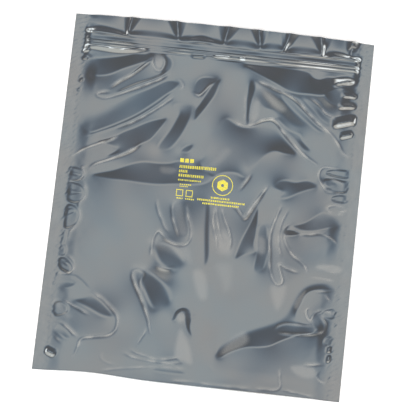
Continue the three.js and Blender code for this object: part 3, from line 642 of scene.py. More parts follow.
@dataclass
class SettledFolds:
    """The surface whose slopes come closest to those of some facets, level at its borders.

    The folds' height dies away over the sag length, as film between folds settles. The margin is
    more than any facet reaches past its outline.
    """

    left: float
    right: float
    low: float
    high: float
    step: float = 1.1
    sag: float = 60.0
    margin: float = 4.0

    def slopes(self, facets: tuple[Facet, ...], xs: Array, ys: Array, axis: int) -> Array:
        """Gives the slopes that facets ask for.

        Args:
            facets: The facets that lie on the surface.
            xs: The grid's places across the bag.
            ys: The grid's places along the bag.
            axis: 0 for the slopes across the bag, 1 for those along it.

        Returns:
            The slopes on the grid.
        """
        x, y = np.meshgrid(xs, ys, indexing="ij")
        slopes = np.zeros(x.shape)
        for facet in facets:
            outline = smooth_line(facet.outline, True)
            box = near(x, y, outline, self.margin)
            inside = 0.5 - signed_distance(x[box], y[box], outline) / (2 * facet.edge)
            lean = math.radians(facet.lean)
            slopes[box] -= facet.slope * (math.cos(lean), math.sin(lean))[axis] * smoothstep(inside)
        return slopes

    def settle(self, facets: tuple[Facet, ...], gain: float) -> None:
        """Solves for the heights on a grid.

        Args:
            facets: The facets that lie on the surface.
            gain: The share of each facet's slope that is kept.
        """
        columns = round((self.right - self.left) / self.step)
        rows = round((self.high - self.low) / self.step)
        self.dx = (self.right - self.left) / columns
        self.dy = (self.high - self.low) / rows
        x = self.left + self.dx * np.arange(columns + 1)
        y = self.low + self.dy * np.arange(rows + 1)
        rise_x = self.slopes(facets, x[:-1] + self.dx / 2, y, 0)
        rise_y = self.slopes(facets, x, y[:-1] + self.dy / 2, 1)
        spread = np.diff(rise_x, axis=0)[:, 1:-1] / self.dx + np.diff(rise_y, axis=1)[1:-1] / self.dy
        i = np.arange(1, columns)[:, None]
        j = np.arange(1, rows)[None, :]
        stiffness = ((2 * np.cos(np.pi * i / columns) - 2) / self.dx ** 2
                     + (2 * np.cos(np.pi * j / rows) - 2) / self.dy ** 2 - 1 / self.sag ** 2)
        solved = sine_transform(sine_transform(spread) / stiffness) * 4 / (columns * rows)
        self.heights = np.zeros((columns + 1, rows + 1))
        self.heights[1:-1, 1:-1] = gain * solved

    def at(self, x: Array, y: Array) -> Array:
        """Gives the height at some places, level outside the grid."""
        h = self.heights
        i = np.clip((x - self.left) / self.dx, 0, h.shape[0] - 1.001)
        j = np.clip((y - self.low) / self.dy, 0, h.shape[1] - 1.001)
        i0, j0 = i.astype(int), j.astype(int)
        s, t = i - i0, j - j0
        return ((h[i0, j0] * (1 - s) + h[i0 + 1, j0] * s) * (1 - t)
                + (h[i0, j0 + 1] * (1 - s) + h[i0 + 1, j0 + 1] * s) * t)


@dataclass
class BagSizes:
    """The driving sizes of the bag in millimetres, as in the CAD model."""

    pocket_half: float = 127.0
    side_seal: float = 9.5
    pocket_length: float = 304.5
    lip_start: float = 318.2
    lip: float = 17.0
    mouth_bow: float = 2.2
    film: float = 0.076
    fold_height: float = 0.8
    zip_top: float = 1.8
    fold_lift: float = 2.4
    fold_lift_x: float = -85.0
    fold_lift_spread: float = 35.0
    fold_lift_run: float = 60.0

    @property
    def bag_half(self) -> float:
        """Half the bag's overall width."""
        return self.pocket_half + self.side_seal

    @property
    def bag_length(self) -> float:
        """The run from the bottom fold to the mouth at the sides."""
        return self.lip_start + self.lip

    @property
    def middle(self) -> float:
        """The run that lies at Y = 0."""
        return (self.bag_length + self.mouth_bow) / 2

    @property
    def sealed(self) -> float:
        """The height of the two films where they are welded."""
        return 2 * self.film

    def place(self, x: Array, run: Array) -> Array:
        """Gives the Y in millimetres of some places on the film."""
        lift = self.fold_lift * np.exp(-((x - self.fold_lift_x) / self.fold_lift_spread) ** 2)
        low = run + lift * np.clip(1 - run / self.fold_lift_run, 0, None)
        lip = self.lip + self.mouth_bow * (1 - (x / self.bag_half) ** 2)
        high = self.lip_start + (run - self.lip_start) / self.lip * lip
        return np.where(run <= self.lip_start, low, high) - self.middle


class FilmRelief:
    """The height of the front wall over the table, with its folds, creases, zip and lip.

    Lengths are in millimetres. A gain is the share of a drawn slope or height that is kept, and a
    ramp is how far in from a side seal the film reaches its full height.
    """

    LOFT = 2.2
    FOLD_GAIN = 0.8
    SIDE_HEIGHT = 0.35
    FOLD_SHOULDER = 20.0
    ZIP_SHOULDER = 60.0
    POCKET_RAMP = 16.0
    ZIP_RAMP = 7.0
    LIP_RAMP = 12.0
    RIM_WAVES = Ripple(0.05, 8, 12)
    RIM_REACH = 9.0
    BROAD_WAVES = Ripple(0.10, 45, 14)

    CREASE_GAIN = 0.5
    CREASE_REACH = 4.0
    CREASE_FADE = 8.0
    PUCKER_REACH = 5.0
    PUCKER_FADE_SHARE = 0.3

    # Film that lies lower than the rest gap over the seals' height is eased up to it
    REST_GAP = 0.15
    REST_SOFTNESS = 0.35

    # The welding bar's marks on the seals, and how it crushes the ends of the zip and of the lip
    CRIMP = Ripple(0.05, 4.2, 21)
    CRIMP_END = 3.0
    WELD_LINE = Ripple(0.09, 3.4, 27, 10)
    WELD_LINE_INSET = 1.5
    WELD_LINE_SPREAD = 2.2
    CRUSHED_ENDS = Ripple(0.15, 3.2, 23, 8)

    # Runs across the shut zip and the film's height over each
    ZIP_PROFILE = ((304.5, 1.95), (306.0, 1.85), (308.2, 2.45), (309.4, 2.2), (310.8, 2.6),
                   (312.4, 2.2), (316.6, 1.85), (318.2, 2.15))
    ZIP_SWELL = Ripple(0.35, 60, 3, 8)
    ZIP_RIPPLE = Ripple(0.12, 14, 5, 10)

    # Where the lip is nipped at the zip tape
    NIPS = (-127.0, -88.0, -41.0, 0.0, 34.0, 56.0, 91.0, 115.0, 127.0)
    LIP_REST = 0.9
    LIP_CROWN = 1.4
    DART_HALF_WIDTH = 1.5
    DART_SPREAD = 7
    DART_LEAN = 3
    DART_HEIGHT = 0.4
    DART_RISE = 2.0

    # How pale the film is painted, from 0 to 1: on crease ridges partly whitening and partly a painted
    # highlight, and a faint grainy lightening on the seals
    PALEST = 0.75
    CREASE_PALE = 0.75
    CREASE_PALE_WIDTH = 0.8
    CREASE_GRAIN = Ripple(0.35, 11, 31)
    SEAL_PALE = 0.06
    SEAL_GRAIN = Ripple(0.3, 6, 33)

    def __init__(self, sizes: BagSizes) -> None:
        """Settles the folds of the pocket and of the lip."""
        self.sizes = sizes
        half = sizes.pocket_half
        self.pocket = SettledFolds(-half, half, 0.0, sizes.pocket_length)
        self.pocket.settle(FACETS, self.FOLD_GAIN)
        self.lip = SettledFolds(-half, half, 310.0, 350.0, 0.8)
        self.lip.settle(LIP_FACETS, 1.0)

    @staticmethod
    def ends(along: Array, length: float, fade: float) -> Array:
        """Fades a line out towards its two ends."""
        return smoothstep(along / fade) * smoothstep((length - along) / fade)

    def creases(self, x: Array, run: Array) -> tuple[Array, Array]:
        """Gives the height of the creases and how pale their ridges are painted, partly as whitening and
        partly as a painted highlight.
        """
        height = np.zeros(x.shape)
        pale = np.zeros(x.shape)
        grain = np.clip(0.8 + self.CREASE_GRAIN.at(x, run), 0.2, 1.3)
        for crease in CREASES:
            line = smooth_line(crease.line, False)
            box = near(x, run, line, self.CREASE_REACH * crease.half_width)
            nearest, along, _, length = along_line(x[box], run[box], line)
            pressed = crease.height * self.ends(along, length, self.CREASE_FADE)
            height[box] += self.CREASE_GAIN * pressed * np.exp(-(nearest / crease.half_width) ** 2)
            # Raised ridges are painted pale: partly whitening, partly a painted highlight of the bright
            # crease lines.
            if crease.height > 0:
                ridge = np.exp(-(nearest / (self.CREASE_PALE_WIDTH * crease.half_width)) ** 2)
                whitening_and_highlight = self.CREASE_PALE * pressed * ridge * grain[box]
                pale[box] = np.maximum(pale[box], whitening_and_highlight)
        return height, pale

    def puckers(self, x: Array, run: Array) -> Array:
        """Gives the height of the puckers, which fall more slowly on one side than on the other."""
        height = np.zeros(x.shape)
        for pucker in PUCKERS:
            line = smooth_line(pucker.line, False)
            box = near(x, run, line, self.PUCKER_REACH * pucker.half_width)
            nearest, along, side, length = along_line(x[box], run[box], line)
            fade = min(self.PUCKER_FADE_SHARE * length, self.CREASE_FADE)
            across = side * nearest / pucker.half_width
            slow = (self.PUCKER_REACH - across) / (self.PUCKER_REACH - 1)
            profile = np.clip(np.minimum((across + 1) / 2, slow), 0, 1)
            height[box] += pucker.height * profile * self.ends(along, length, fade)
        return height

    def bulges(self, x: Array, run: Array) -> Array:
        """Gives the height of the rounded bulges beside the seals."""
        height = np.zeros(x.shape)
        for bulge in BULGES:
            outline = smooth_line(bulge.outline, True)
            box = near(x, run, outline, bulge.edge)
            inside = -signed_distance(x[box], run[box], outline) / bulge.edge
            height[box] += bulge.height * smoothstep(inside)
        return height

    def pale(self, x: Array, run: Array) -> Array:
        """Gives how pale the film is painted, from 0 to 1: crease ridges that are partly whitening and
        partly a painted highlight, painted highlight patches, and a faint grainy lightening on the
        seals.
        """
        whitening_and_highlight = self.creases(x, run)[1]
        # Patches painted lighter as painted highlights.
        for patch in PAINTED_HIGHLIGHT_PATCHES:
            outline = smooth_line(patch.outline, True)
            box = near(x, run, outline, 2 * patch.edge)
            inside = 0.5 - signed_distance(x[box], run[box], outline) / (2 * patch.edge)
            whitening_and_highlight[box] = np.maximum(whitening_and_highlight[box], patch.strength * smoothstep(inside))
        on_seal = smoothstep((np.abs(x) - self.sizes.pocket_half + 1) / 2)
        seal_pale = self.SEAL_PALE * on_seal * (1 + self.SEAL_GRAIN.at(x, 0.4 * run))
        return np.clip(np.maximum(whitening_and_highlight, seal_pale), 0, self.PALEST)

    def pocket_height(self, x: Array, run: Array) -> Array:
        """Gives the pocket's height: its loft, its folds and faint waves, finer at its sides."""
        sizes = self.sizes
        across = np.clip(x / sizes.pocket_half, -1, 1)
        along = np.clip(2 * run / sizes.pocket_length - 1, -1, 1)
        settled = smoothstep(run / self.FOLD_SHOULDER)
        low = sizes.fold_height + (self.SIDE_HEIGHT - sizes.fold_height) * settled
        shoulder = smoothstep((run - sizes.pocket_length + self.ZIP_SHOULDER) / self.ZIP_SHOULDER)
        edge = low + (self.ZIP_PROFILE[0][1] - low) * shoulder
        loft = self.LOFT * (1 - across ** 2) * (1 - along ** 4)
        rim = np.exp(-np.clip(sizes.pocket_half - np.abs(x), 0, None) / self.RIM_REACH)
        waves = self.RIM_WAVES.at(x, run) * rim + self.BROAD_WAVES.at(x, run)
        return edge + loft + self.pocket.at(x, run) + waves * smoothstep(run / 12)

    def zip_height(self, x: Array, run: Array) -> Array:
        """Gives the film's height over the shut zip."""
        runs, heights = (np.array(part) for part in zip(*self.ZIP_PROFILE))
        span = np.clip(np.searchsorted(runs, run) - 1, 0, len(runs) - 2)
        share = smoothstep((run - runs[span]) / (runs[span + 1] - runs[span]))
        level = heights[span] * (1 - share) + heights[span + 1] * share
        swell = 1 + self.ZIP_SWELL.at(x, 0 * run) + self.ZIP_RIPPLE.at(x, 0.5 * run)
        return self.sizes.zip_top + (level - self.sizes.zip_top) * np.clip(swell, 0.3, 2.2)

    def lip_height(self, x: Array, run: Array) -> Array:
        """Gives the lip's height: it falls from the zip, crowns between the nips and darts at each."""
        share = np.clip((run - self.sizes.lip_start) / self.sizes.lip, 0, 1)
        start = self.ZIP_PROFILE[-1][1]
        height = np.zeros(x.shape)
        for left, right in zip(self.NIPS[:-1], self.NIPS[1:]):
            crown = np.sin(np.pi * (x - left) / (right - left))
            fall = smoothstep(share / (0.30 + 0.25 * np.clip(crown, 0, 1)))
            level = start * (1 - fall) + self.LIP_REST * fall
            between = (x >= left) & (x <= right)
            height = np.where(between, level + self.LIP_CROWN * share ** 2 * crown, height)
        for count, nip in enumerate(self.NIPS[1:-1]):
            width = self.DART_HALF_WIDTH + (self.DART_SPREAD + count % 3) * share
            offset = np.abs(x - nip - self.DART_LEAN * share * (-1) ** count)
            ridge = np.clip(1 - offset / width, 0, 1) ** 1.3
            height += (self.DART_HEIGHT + self.DART_RISE * share) * smoothstep(share / 0.12) * ridge
        return height + self.lip.at(x, run)

    def seal_marks(self, x: Array, run: Array) -> Array:
        """Gives the height of the marks that the welding bar leaves along the side seals."""
        inset = self.sizes.pocket_half - np.abs(x)
        crimp = self.CRIMP.height + self.CRIMP.at(1.3 * x, run)
        crimp = crimp * smoothstep((self.sizes.bag_half - np.abs(x)) / 2)
        crimp = crimp * smoothstep((self.CRIMP_END - inset) / self.CRIMP_END)
        beside = np.exp(-((inset - self.WELD_LINE_INSET) / self.WELD_LINE_SPREAD) ** 2)
        return np.clip(crimp + self.WELD_LINE.at(x, run) * beside, 0, None)

    def height(self, x: Array, run: Array) -> Array:
        """Gives the height in millimetres of the front wall's outer face."""
        sizes = self.sizes
        inset = sizes.pocket_half - np.abs(x)
        free = np.where(run <= sizes.lip_start, self.zip_height(x, run), self.lip_height(x, run))
        free = np.where(run <= sizes.pocket_length, self.pocket_height(x, run), free)
        free = free + self.creases(x, run)[0]
        floor = sizes.sealed + self.REST_GAP
        free = floor + self.REST_SOFTNESS * np.logaddexp(0, (free - floor) / self.REST_SOFTNESS)

        in_pocket = smoothstep((sizes.pocket_length - 5 - run) / 8)
        in_lip = smoothstep((run - sizes.lip_start) / 4)
        ramp = (self.ZIP_RAMP + (self.POCKET_RAMP - self.ZIP_RAMP) * in_pocket
                + (self.LIP_RAMP - self.ZIP_RAMP) * in_lip)
        crushed = 1 + (1 - in_pocket) * np.clip(self.CRUSHED_ENDS.at(0.3 * x, run), 0, 0.15)
        rise = smoothstep(inset * crushed / ramp)
        steep = self.bulges(x, run) * smoothstep(inset / 6)
        steep = steep + self.puckers(x, run) * smoothstep(inset / 2)
        return sizes.sealed + self.seal_marks(x, run) + (free - sizes.sealed) * rise + steep


def linked(name: str, data: bpy.types.ID) -> Object:
    """Makes an object from a mesh or a camera and links it to the scene."""
    made = bpy.data.objects.new(name, data)
    bpy.context.scene.collection.objects.link(made)
    return made


@dataclass
class MeshParts:
    """Points and faces that grow into one mesh."""

    points: list[Array] = field(default_factory=list)
    faces: list[Array] = field(default_factory=list)
    count: int = 0
    merge: float = 1e-4

    def grid(self, x: Array, y: Array, z: Array | float, pale: Array | float = 0.0) -> Array:
        """Adds a grid of points, with how pale each is painted, and returns their numbers."""
        points = np.stack(np.broadcast_arrays(x, y, z, pale), -1)
        numbers = self.count + np.arange(points[..., 0].size).reshape(points.shape[:-1])
        self.points.append(points.reshape(-1, 4))
        self.count += numbers.size
        return numbers

    def quads(self, a: Array, b: Array, c: Array, d: Array) -> None:
        """Adds quads from four equal grids of corner numbers, as two triangles each."""
        corners = [part.ravel() for part in (a, b, c, d)]
        self.faces.append(np.stack([corners[0], corners[1], corners[2]], -1))
        self.faces.append(np.stack([corners[0], corners[2], corners[3]], -1))

    def skin(self, numbers: Array) -> None:
        """Covers a grid of numbers, first axis across and second along."""
        self.quads(numbers[:-1, :-1], numbers[1:, :-1], numbers[1:, 1:], numbers[:-1, 1:])

    def band(self, lower: Array, upper: Array) -> None:
        """Joins two rows of numbers, facing the side that sees them run to the right."""
        self.quads(lower[:-1], lower[1:], upper[1:], upper[:-1])

    def fan(self, middle: int, loop: Array, closed: bool = True) -> None:
        """Joins a row of numbers to one point, all the way round if the row is a closed loop."""
        after = np.roll(loop, -1)
        count = len(loop) if closed else len(loop) - 1
        self.faces.append(np.stack([np.full(count, middle), loop[:count], after[:count]], -1))

    def build(self, name: str) -> Object:
        """Makes the object, in metres, with equal points merged.

        Args:
            name: The piece's name.

        Returns:
            The object, linked to the scene.
        """
        points = np.concatenate(self.points)
        faces = np.concatenate(self.faces)
        keys = np.round(points[:, :3] / self.merge).astype(np.int64)
        _, first, place = np.unique(keys, axis=0, return_index=True, return_inverse=True)
        faces = place.reshape(-1)[faces]
        a, b, c = faces.T
        whole = (a != b) & (b != c) & (c != a)
        mesh = bpy.data.meshes.new(name)
        mesh.from_pydata((points[first, :3] * MM).tolist(), [], faces[whole].tolist())
        mesh.update()
        # How pale each point is painted: partly whitening, partly a painted highlight.
        pale = mesh.attributes.new("pale", "FLOAT", "POINT")
        pale.data.foreach_set("value", points[first, 3].astype(np.float32))
        return linked(name, mesh)


@dataclass
class FilmPouch:
    """The film pouch: one web folded at the bottom, welded down both sides and open at the mouth."""

    sizes: BagSizes
    relief: FilmRelief
    pocket_step: float = 1.1
    zip_step: float = 0.5
    lip_step: float = 0.95
    seal_columns: int = 6
    arc_steps: int = 4
    sparse_pocket: int = 10
    sparse_zip: int = 4
    clearance: float = 1.2

    def __post_init__(self) -> None:
        """Lays out the columns and rows and works out the front wall's heights."""
        sizes = self.sizes
        seal = np.linspace(sizes.pocket_half, sizes.bag_half, self.seal_columns + 1)[1:]
        pocket = self.steps(-sizes.pocket_half, sizes.pocket_half, self.pocket_step)
        self.columns = np.concatenate([-seal[::-1], pocket, seal])
        parts = (self.steps(0, sizes.pocket_length, self.pocket_step),
                 self.steps(sizes.pocket_length, sizes.lip_start, self.zip_step)[1:],
                 self.steps(sizes.lip_start, sizes.bag_length, self.lip_step)[1:])
        self.runs = np.concatenate(parts)
        self.row_counts = [len(part) for part in parts]
        x, run = np.meshgrid(self.columns, self.runs, indexing="ij")
        self.z = self.relief.height(x, run)
        # How pale the front wall is painted: partly whitening, partly a painted highlight.
        self.whitening_and_highlight = self.relief.pale(x, run)
        self.radius = self.z[:, 0] / 2
        run[:, 0] = self.radius
        self.x = x
        self.y = sizes.place(x, run)

    @staticmethod
    def steps(start: float, end: float, step: float) -> Array:
        """Divides a length into even steps."""
        return np.linspace(start, end, round((end - start) / step) + 1)

    def sparse_rows(self) -> Array:
        """Picks the rows of the inner skin: few in the pocket, all of them in the lip."""
        pocket, zipped, lip = self.row_counts
        last = pocket + zipped + lip - 1
        return np.unique(np.concatenate([np.arange(0, pocket - 1, self.sparse_pocket),
                                         np.arange(pocket - 1, pocket + zipped, self.sparse_zip),
                                         np.arange(pocket + zipped, last), [last]]))

    def inner_heights(self, rows: Array) -> Array:
        """Keeps the inner skin a film's thickness or more under the outer one.

        Args:
            rows: The rows of the inner skin.

        Returns:
            Its heights, one column for each of those rows.
        """
        film = self.sizes.film
        low = np.minimum(self.z, np.minimum(np.roll(self.z, 1, 0), np.roll(self.z, -1, 0)))
        inner = np.empty((len(self.columns), len(rows)))
        for count, row in enumerate(rows):
            before = rows[max(count - 1, 0)]
            after = rows[min(count + 1, len(rows) - 1)]
            inner[:, count] = low[:, before:after + 1].min(1) - self.clearance * film
        inner[:, 0] = self.z[:, 0] - film
        inner[:, -1] = self.z[:, -1] - film
        return np.maximum(inner, film)

    def round_fold(self, parts: MeshParts, x: Array, y: Array, radius: Array, base: float) -> Array:
        """Rounds one skin of the bottom fold.

        Args:
            parts: The mesh that takes the fold.
            x: The places of its columns across the bag.
            y: Where each column's round starts along the bag.
            radius: The radius of each column's round.
            base: The height of its underside.

        Returns:
            The numbers of its points, from the top of each column to its underside.
        """
        turn = np.linspace(0, math.pi, self.arc_steps + 1)
        numbers = parts.grid(x[:, None], y[:, None] - radius[:, None] * np.sin(turn),
                             base + radius[:, None] * (1 + np.cos(turn)))
        parts.skin(numbers)
        return numbers

    def close_mouth_corner(self, parts: MeshParts, mouth: Array, back: Array, corner: int) -> None:
        """Closes the welded end of the mouth.

        Args:
            parts: The mesh that takes the faces.
            mouth: The numbers along the front wall's mouth, from this side of the bag.
            back: Those along the back wall's mouth, from the same side.
            corner: The number of the inner skin's corner.
        """
        weld = self.seal_columns
        for i in range(weld - 1):
            parts.quads(back[i:i + 1], back[i + 1:i + 2], mouth[i + 1:i + 2], mouth[i:i + 1])
        i = weld - 1
        parts.faces.append(np.array([(back[i], back[weld], corner), (back[i], corner, mouth[weld]),
                                     (back[i], mouth[weld], mouth[i])]))

    def build(self) -> Object:
        """Makes the closed mesh of the pouch."""
        film = self.sizes.film
        inside = slice(self.seal_columns, len(self.columns) - self.seal_columns)
        parts = MeshParts()
        outer = parts.grid(self.x, self.y, self.z, self.whitening_and_highlight)
        parts.skin(outer)
        rows = self.sparse_rows()
        inner_z = self.inner_heights(rows)[inside]
        inner_z[[0, -1]] = film
        inner_x, inner_y = self.x[inside][:, rows], self.y[inside][:, rows]
        inner = parts.grid(inner_x, inner_y, inner_z)
        parts.skin(inner)
        back_inner = parts.grid(inner_x, inner_y, film)
        back_outer = parts.grid(self.x, self.y, 0.0)

        outer_fold = self.round_fold(parts, self.columns, self.y[:, 0], self.radius, 0.0)
        inner_radius = (inner_z[:, 0] - film) / 2
        self.round_fold(parts, inner_x[:, 0], inner_y[:, 0], inner_radius, film)
        for edge in (0, -1):
            parts.band(outer[edge], back_outer[edge])
            parts.fan(int(outer_fold[edge, -1]), outer_fold[edge, :-1], closed=False)
        mouth, back_mouth = outer[:, -1], back_outer[:, -1]
        parts.band(mouth[inside], inner[:, -1])
        parts.band(back_inner[:, -1], back_mouth[inside])
        self.close_mouth_corner(parts, mouth, back_mouth, inner[0, -1])
        self.close_mouth_corner(parts, mouth[::-1], back_mouth[::-1], inner[-1, -1])
        for numbers, level in ((back_outer, 0.0), (back_inner, film)):
            loop = np.concatenate([numbers[:-1, 0], numbers[-1, :-1],
                                   numbers[:0:-1, -1], numbers[0, :0:-1]])
            middle = parts.grid(np.zeros(1), np.zeros(1), level)
            parts.fan(int(middle[0]), loop)
        return parts.build("film_pouch_skin")

    def surface_at(self, x: Array, run: Array) -> Array:
        """Gives the height of the meshed front wall, triangle by triangle."""
        i = np.clip(np.searchsorted(self.columns, x, "right") - 1, 0, len(self.columns) - 2)
        j = np.clip(np.searchsorted(self.runs, run, "right") - 1, 0, len(self.runs) - 2)
        s = (x - self.columns[i]) / (self.columns[i + 1] - self.columns[i])
        t = (run - self.runs[j]) / (self.runs[j + 1] - self.runs[j])
        a, b, c, d = self.z[i, j], self.z[i + 1, j], self.z[i + 1, j + 1], self.z[i, j + 1]
        return np.where(s >= t, a + s * (b - a) + t * (c - b), a + t * (d - a) + s * (c - d))


class Wiring:
    """Adds and joins the nodes of one node tree."""

    def __init__(self, tree: bpy.types.NodeTree) -> None:
        """Clears the tree."""
        self.tree = tree
        tree.nodes.clear()

    def give(self, socket: Socket, value: object) -> None:
        """Links a socket to another one, or sets its value."""
        if isinstance(value, Socket):
            self.tree.links.new(value, socket)
        else:
            socket.default_value = value

    def add(self, kind: str, inputs: dict | None = None, **settings: object) -> bpy.types.Node:
        """Adds a node.

        Args:
            kind: The node's type.
            inputs: Values or sockets for its inputs, by name or number.
            **settings: The node's own properties.

        Returns:
            The node.
        """
        node = self.tree.nodes.new(kind)
        for name, value in settings.items():
            setattr(node, name, value)
        for name, value in (inputs or {}).items():
            self.give(node.inputs[name], value)
        return node

    def math(self, operation: str, a: object, b: object = 0.0) -> Socket:
        """Adds a Math node and returns its result."""
        return self.add("ShaderNodeMath", {0: a, 1: b}, operation=operation).outputs[0]

    def mix(self, share: object, a: object, b: object) -> Socket:
        """Mixes two colours and returns the result."""
        node = self.add("ShaderNodeMix", {"Factor": share}, data_type="RGBA")
        for socket, value in zip((node.inputs[6], node.inputs[7]), (a, b)):
            self.give(socket, value if isinstance(value, Socket) else (*value, 1.0))
        return node.outputs[2]

    def spread(self, value: object, low: float, high: float, to_low: float = 0.0,
               to_high: float = 1.0) -> Socket:
        """Maps a value from one range to another."""
        inputs = {"Value": value, "From Min": low, "From Max": high,
                  "To Min": to_low, "To Max": to_high}
        return self.add("ShaderNodeMapRange", inputs).outputs["Result"]

    def ramp(self, value: object, stops: tuple[tuple[float, Colour], ...]) -> Socket:
        """Adds a colour ramp with its stops from 0 to 1."""
        node = self.add("ShaderNodeValToRGB", {"Fac": value})
        elements = node.color_ramp.elements
        while len(elements) < len(stops):
            elements.new(0.5)
        for element, (position, _) in zip(elements, stops):
            element.position = position
        for element, (_, colour) in zip(elements, stops):
            element.color = (*colour, 1.0)
        return node.outputs["Color"]


def handling_wear_group() -> bpy.types.NodeTree:
    """Builds the shared group for the marks that handling leaves: a mask and a fine height."""
    group = bpy.data.node_groups.new("handling_wear", "ShaderNodeTree")
    wires = Wiring(group)
    for name, value in (("Cloud Scale", 40.0), ("Grain Scale", 900.0), ("Contrast", 1.0)):
        socket = group.interface.new_socket(name, in_out="INPUT", socket_type="NodeSocketFloat")
        socket.default_value = value
    for name in ("Cloud", "Grain"):
        group.interface.new_socket(name, in_out="OUTPUT", socket_type="NodeSocketFloat")
    given = wires.add("NodeGroupInput").outputs
    place = wires.add("ShaderNodeTexCoord").outputs["Object"]
    cloud, grain = (wires.add("ShaderNodeTexNoise", {"Vector": place, "Scale": scale, "Detail": detail})
                    for scale, detail in ((given["Cloud Scale"], 3.0), (given["Grain Scale"], 2.0)))
    centred = wires.math("SUBTRACT", cloud.outputs["Fac"], 0.5)
    contrasted = wires.math("ADD", wires.math("MULTIPLY", centred, given["Contrast"]), 0.5)
    wires.add("NodeGroupOutput", {"Cloud": contrasted, "Grain": grain.outputs["Fac"]})
    return group


class Dressing:
    """A material with one Principled shader, and the shared wear group placed in it."""

    def __init__(self, name: str, wear: bpy.types.NodeTree, cloud: float, grain: float,
                 contrast: float) -> None:
        """Makes the material.

        Args:
            name: The material's name.
            wear: The shared wear group.
            cloud: The scale of its clouds, in cells per metre.
            grain: The scale of its grain, in cells per metre.
            contrast: The clouds' contrast.
        """
        self.material = bpy.data.materials.new(name)
        self.material.use_nodes = True
        self.wires = Wiring(self.material.node_tree)
        self.shader = self.wires.add("ShaderNodeBsdfPrincipled")
        self.wires.add("ShaderNodeOutputMaterial", {"Surface": self.shader.outputs["BSDF"]})
        marks = self.wires.add("ShaderNodeGroup", node_tree=wear)
        for socket, value in (("Cloud Scale", cloud), ("Grain Scale", grain), ("Contrast", contrast)):
            marks.inputs[socket].default_value = value
        self.cloud, self.grain = (marks.outputs[name] for name in ("Cloud", "Grain"))

    def feed(self, **sockets: object) -> None:
        """Sets the shader's sockets, named with underscores for spaces."""
        for name, value in sockets.items():
            self.wires.give(self.shader.inputs[name.replace("_", " ")], value)

    def bump(self, distance: float) -> None:
        """Feeds the grain to the shader's normal, as a height in metres."""
        inputs = {"Height": self.grain, "Distance": distance, "Strength": 1.0}
        self.feed(Normal=self.wires.add("ShaderNodeBump", inputs).outputs["Normal"])

    def put_on(self, piece: Object) -> None:
        """Puts the material on a piece."""
        piece.data.materials.clear()
        piece.data.materials.append(self.material)


@dataclass(frozen=True)
class FilmFinish:
    """Metallised film: a dim mirror between two greys, painted pale and dulled along its creases and in
    patches, partly as whitening and partly as a painted highlight.
    """

    warm: Colour = (0.275, 0.280, 0.280)
    cool: Colour = (0.245, 0.278, 0.295)
    # The pale colour is partly whitening and partly a painted highlight.
    whitening_and_highlight: Colour = (0.50, 0.475, 0.43)
    whitening_and_highlight_metallic: float = 0.25
    smoothest: float = 0.10
    roughest: float = 0.15
    whitening_and_highlight_roughness: float = 0.35

    def make(self, wear: bpy.types.NodeTree) -> Dressing:
        """Makes the material around the shared wear group."""
        dressing = Dressing("metallised_film", wear, 16.0, 700.0, 1.2)
        wires, cloud = dressing.wires, dressing.cloud
        pale = wires.add("ShaderNodeAttribute", attribute_name="pale").outputs["Fac"]
        tint = wires.mix(wires.spread(cloud, 0.3, 0.7), self.cool, self.warm)
        rough = wires.spread(cloud, 0.2, 0.8, self.smoothest, self.roughest)
        dulled = wires.math("MULTIPLY", pale, self.whitening_and_highlight_roughness)
        # The base colour turns pale where the film is painted pale: partly whitening, partly a painted
        # highlight.
        dressing.feed(Base_Color=wires.mix(pale, tint, self.whitening_and_highlight),
                      Metallic=wires.spread(pale, 0.0, 0.7, 1.0, self.whitening_and_highlight_metallic),
                      Roughness=wires.math("ADD", rough, dulled))
        dressing.bump(0.000002)
        return dressing


@dataclass(frozen=True)
class TapeFinish:
    """Milky polyethylene tape."""

    colour: Colour = (0.55, 0.56, 0.55)
    lighter: float = 1.12
    smoothest: float = 0.34
    roughest: float = 0.5

    def make(self, wear: bpy.types.NodeTree) -> Dressing:
        """Makes the material around the shared wear group."""
        dressing = Dressing("milky_tape", wear, 60.0, 1500.0, 0.8)
        wires, cloud = dressing.wires, dressing.cloud
        lighter = tuple(min(1.0, value * self.lighter) for value in self.colour)
        dressing.feed(Base_Color=wires.mix(cloud, self.colour, lighter),
                      Roughness=wires.spread(cloud, 0.0, 1.0, self.smoothest, self.roughest),
                      Subsurface_Weight=0.15, Subsurface_Radius=(0.001, 0.001, 0.001))
        dressing.bump(0.00002)
        return dressing


@dataclass(frozen=True)
class InkFinish:
    """Yellow ink that thins in places over the film."""

    colour: Colour = (0.66, 0.59, 0.055)
    thin: Colour = (0.52, 0.47, 0.10)
    smoothest: float = 0.38
    roughest: float = 0.55

    def make(self, wear: bpy.types.NodeTree) -> Dressing:
        """Makes the material around the shared wear group."""
        dressing = Dressing("yellow_ink", wear, 700.0, 2600.0, 2.2)
        wires = dressing.wires
        thinned = wires.spread(dressing.cloud, 0.35, 0.8)
        dressing.feed(Base_Color=wires.mix(thinned, self.colour, self.thin),
                      Roughness=wires.spread(dressing.grain, 0.2, 0.8, self.smoothest, self.roughest))
        dressing.bump(0.00001)
        return dressing


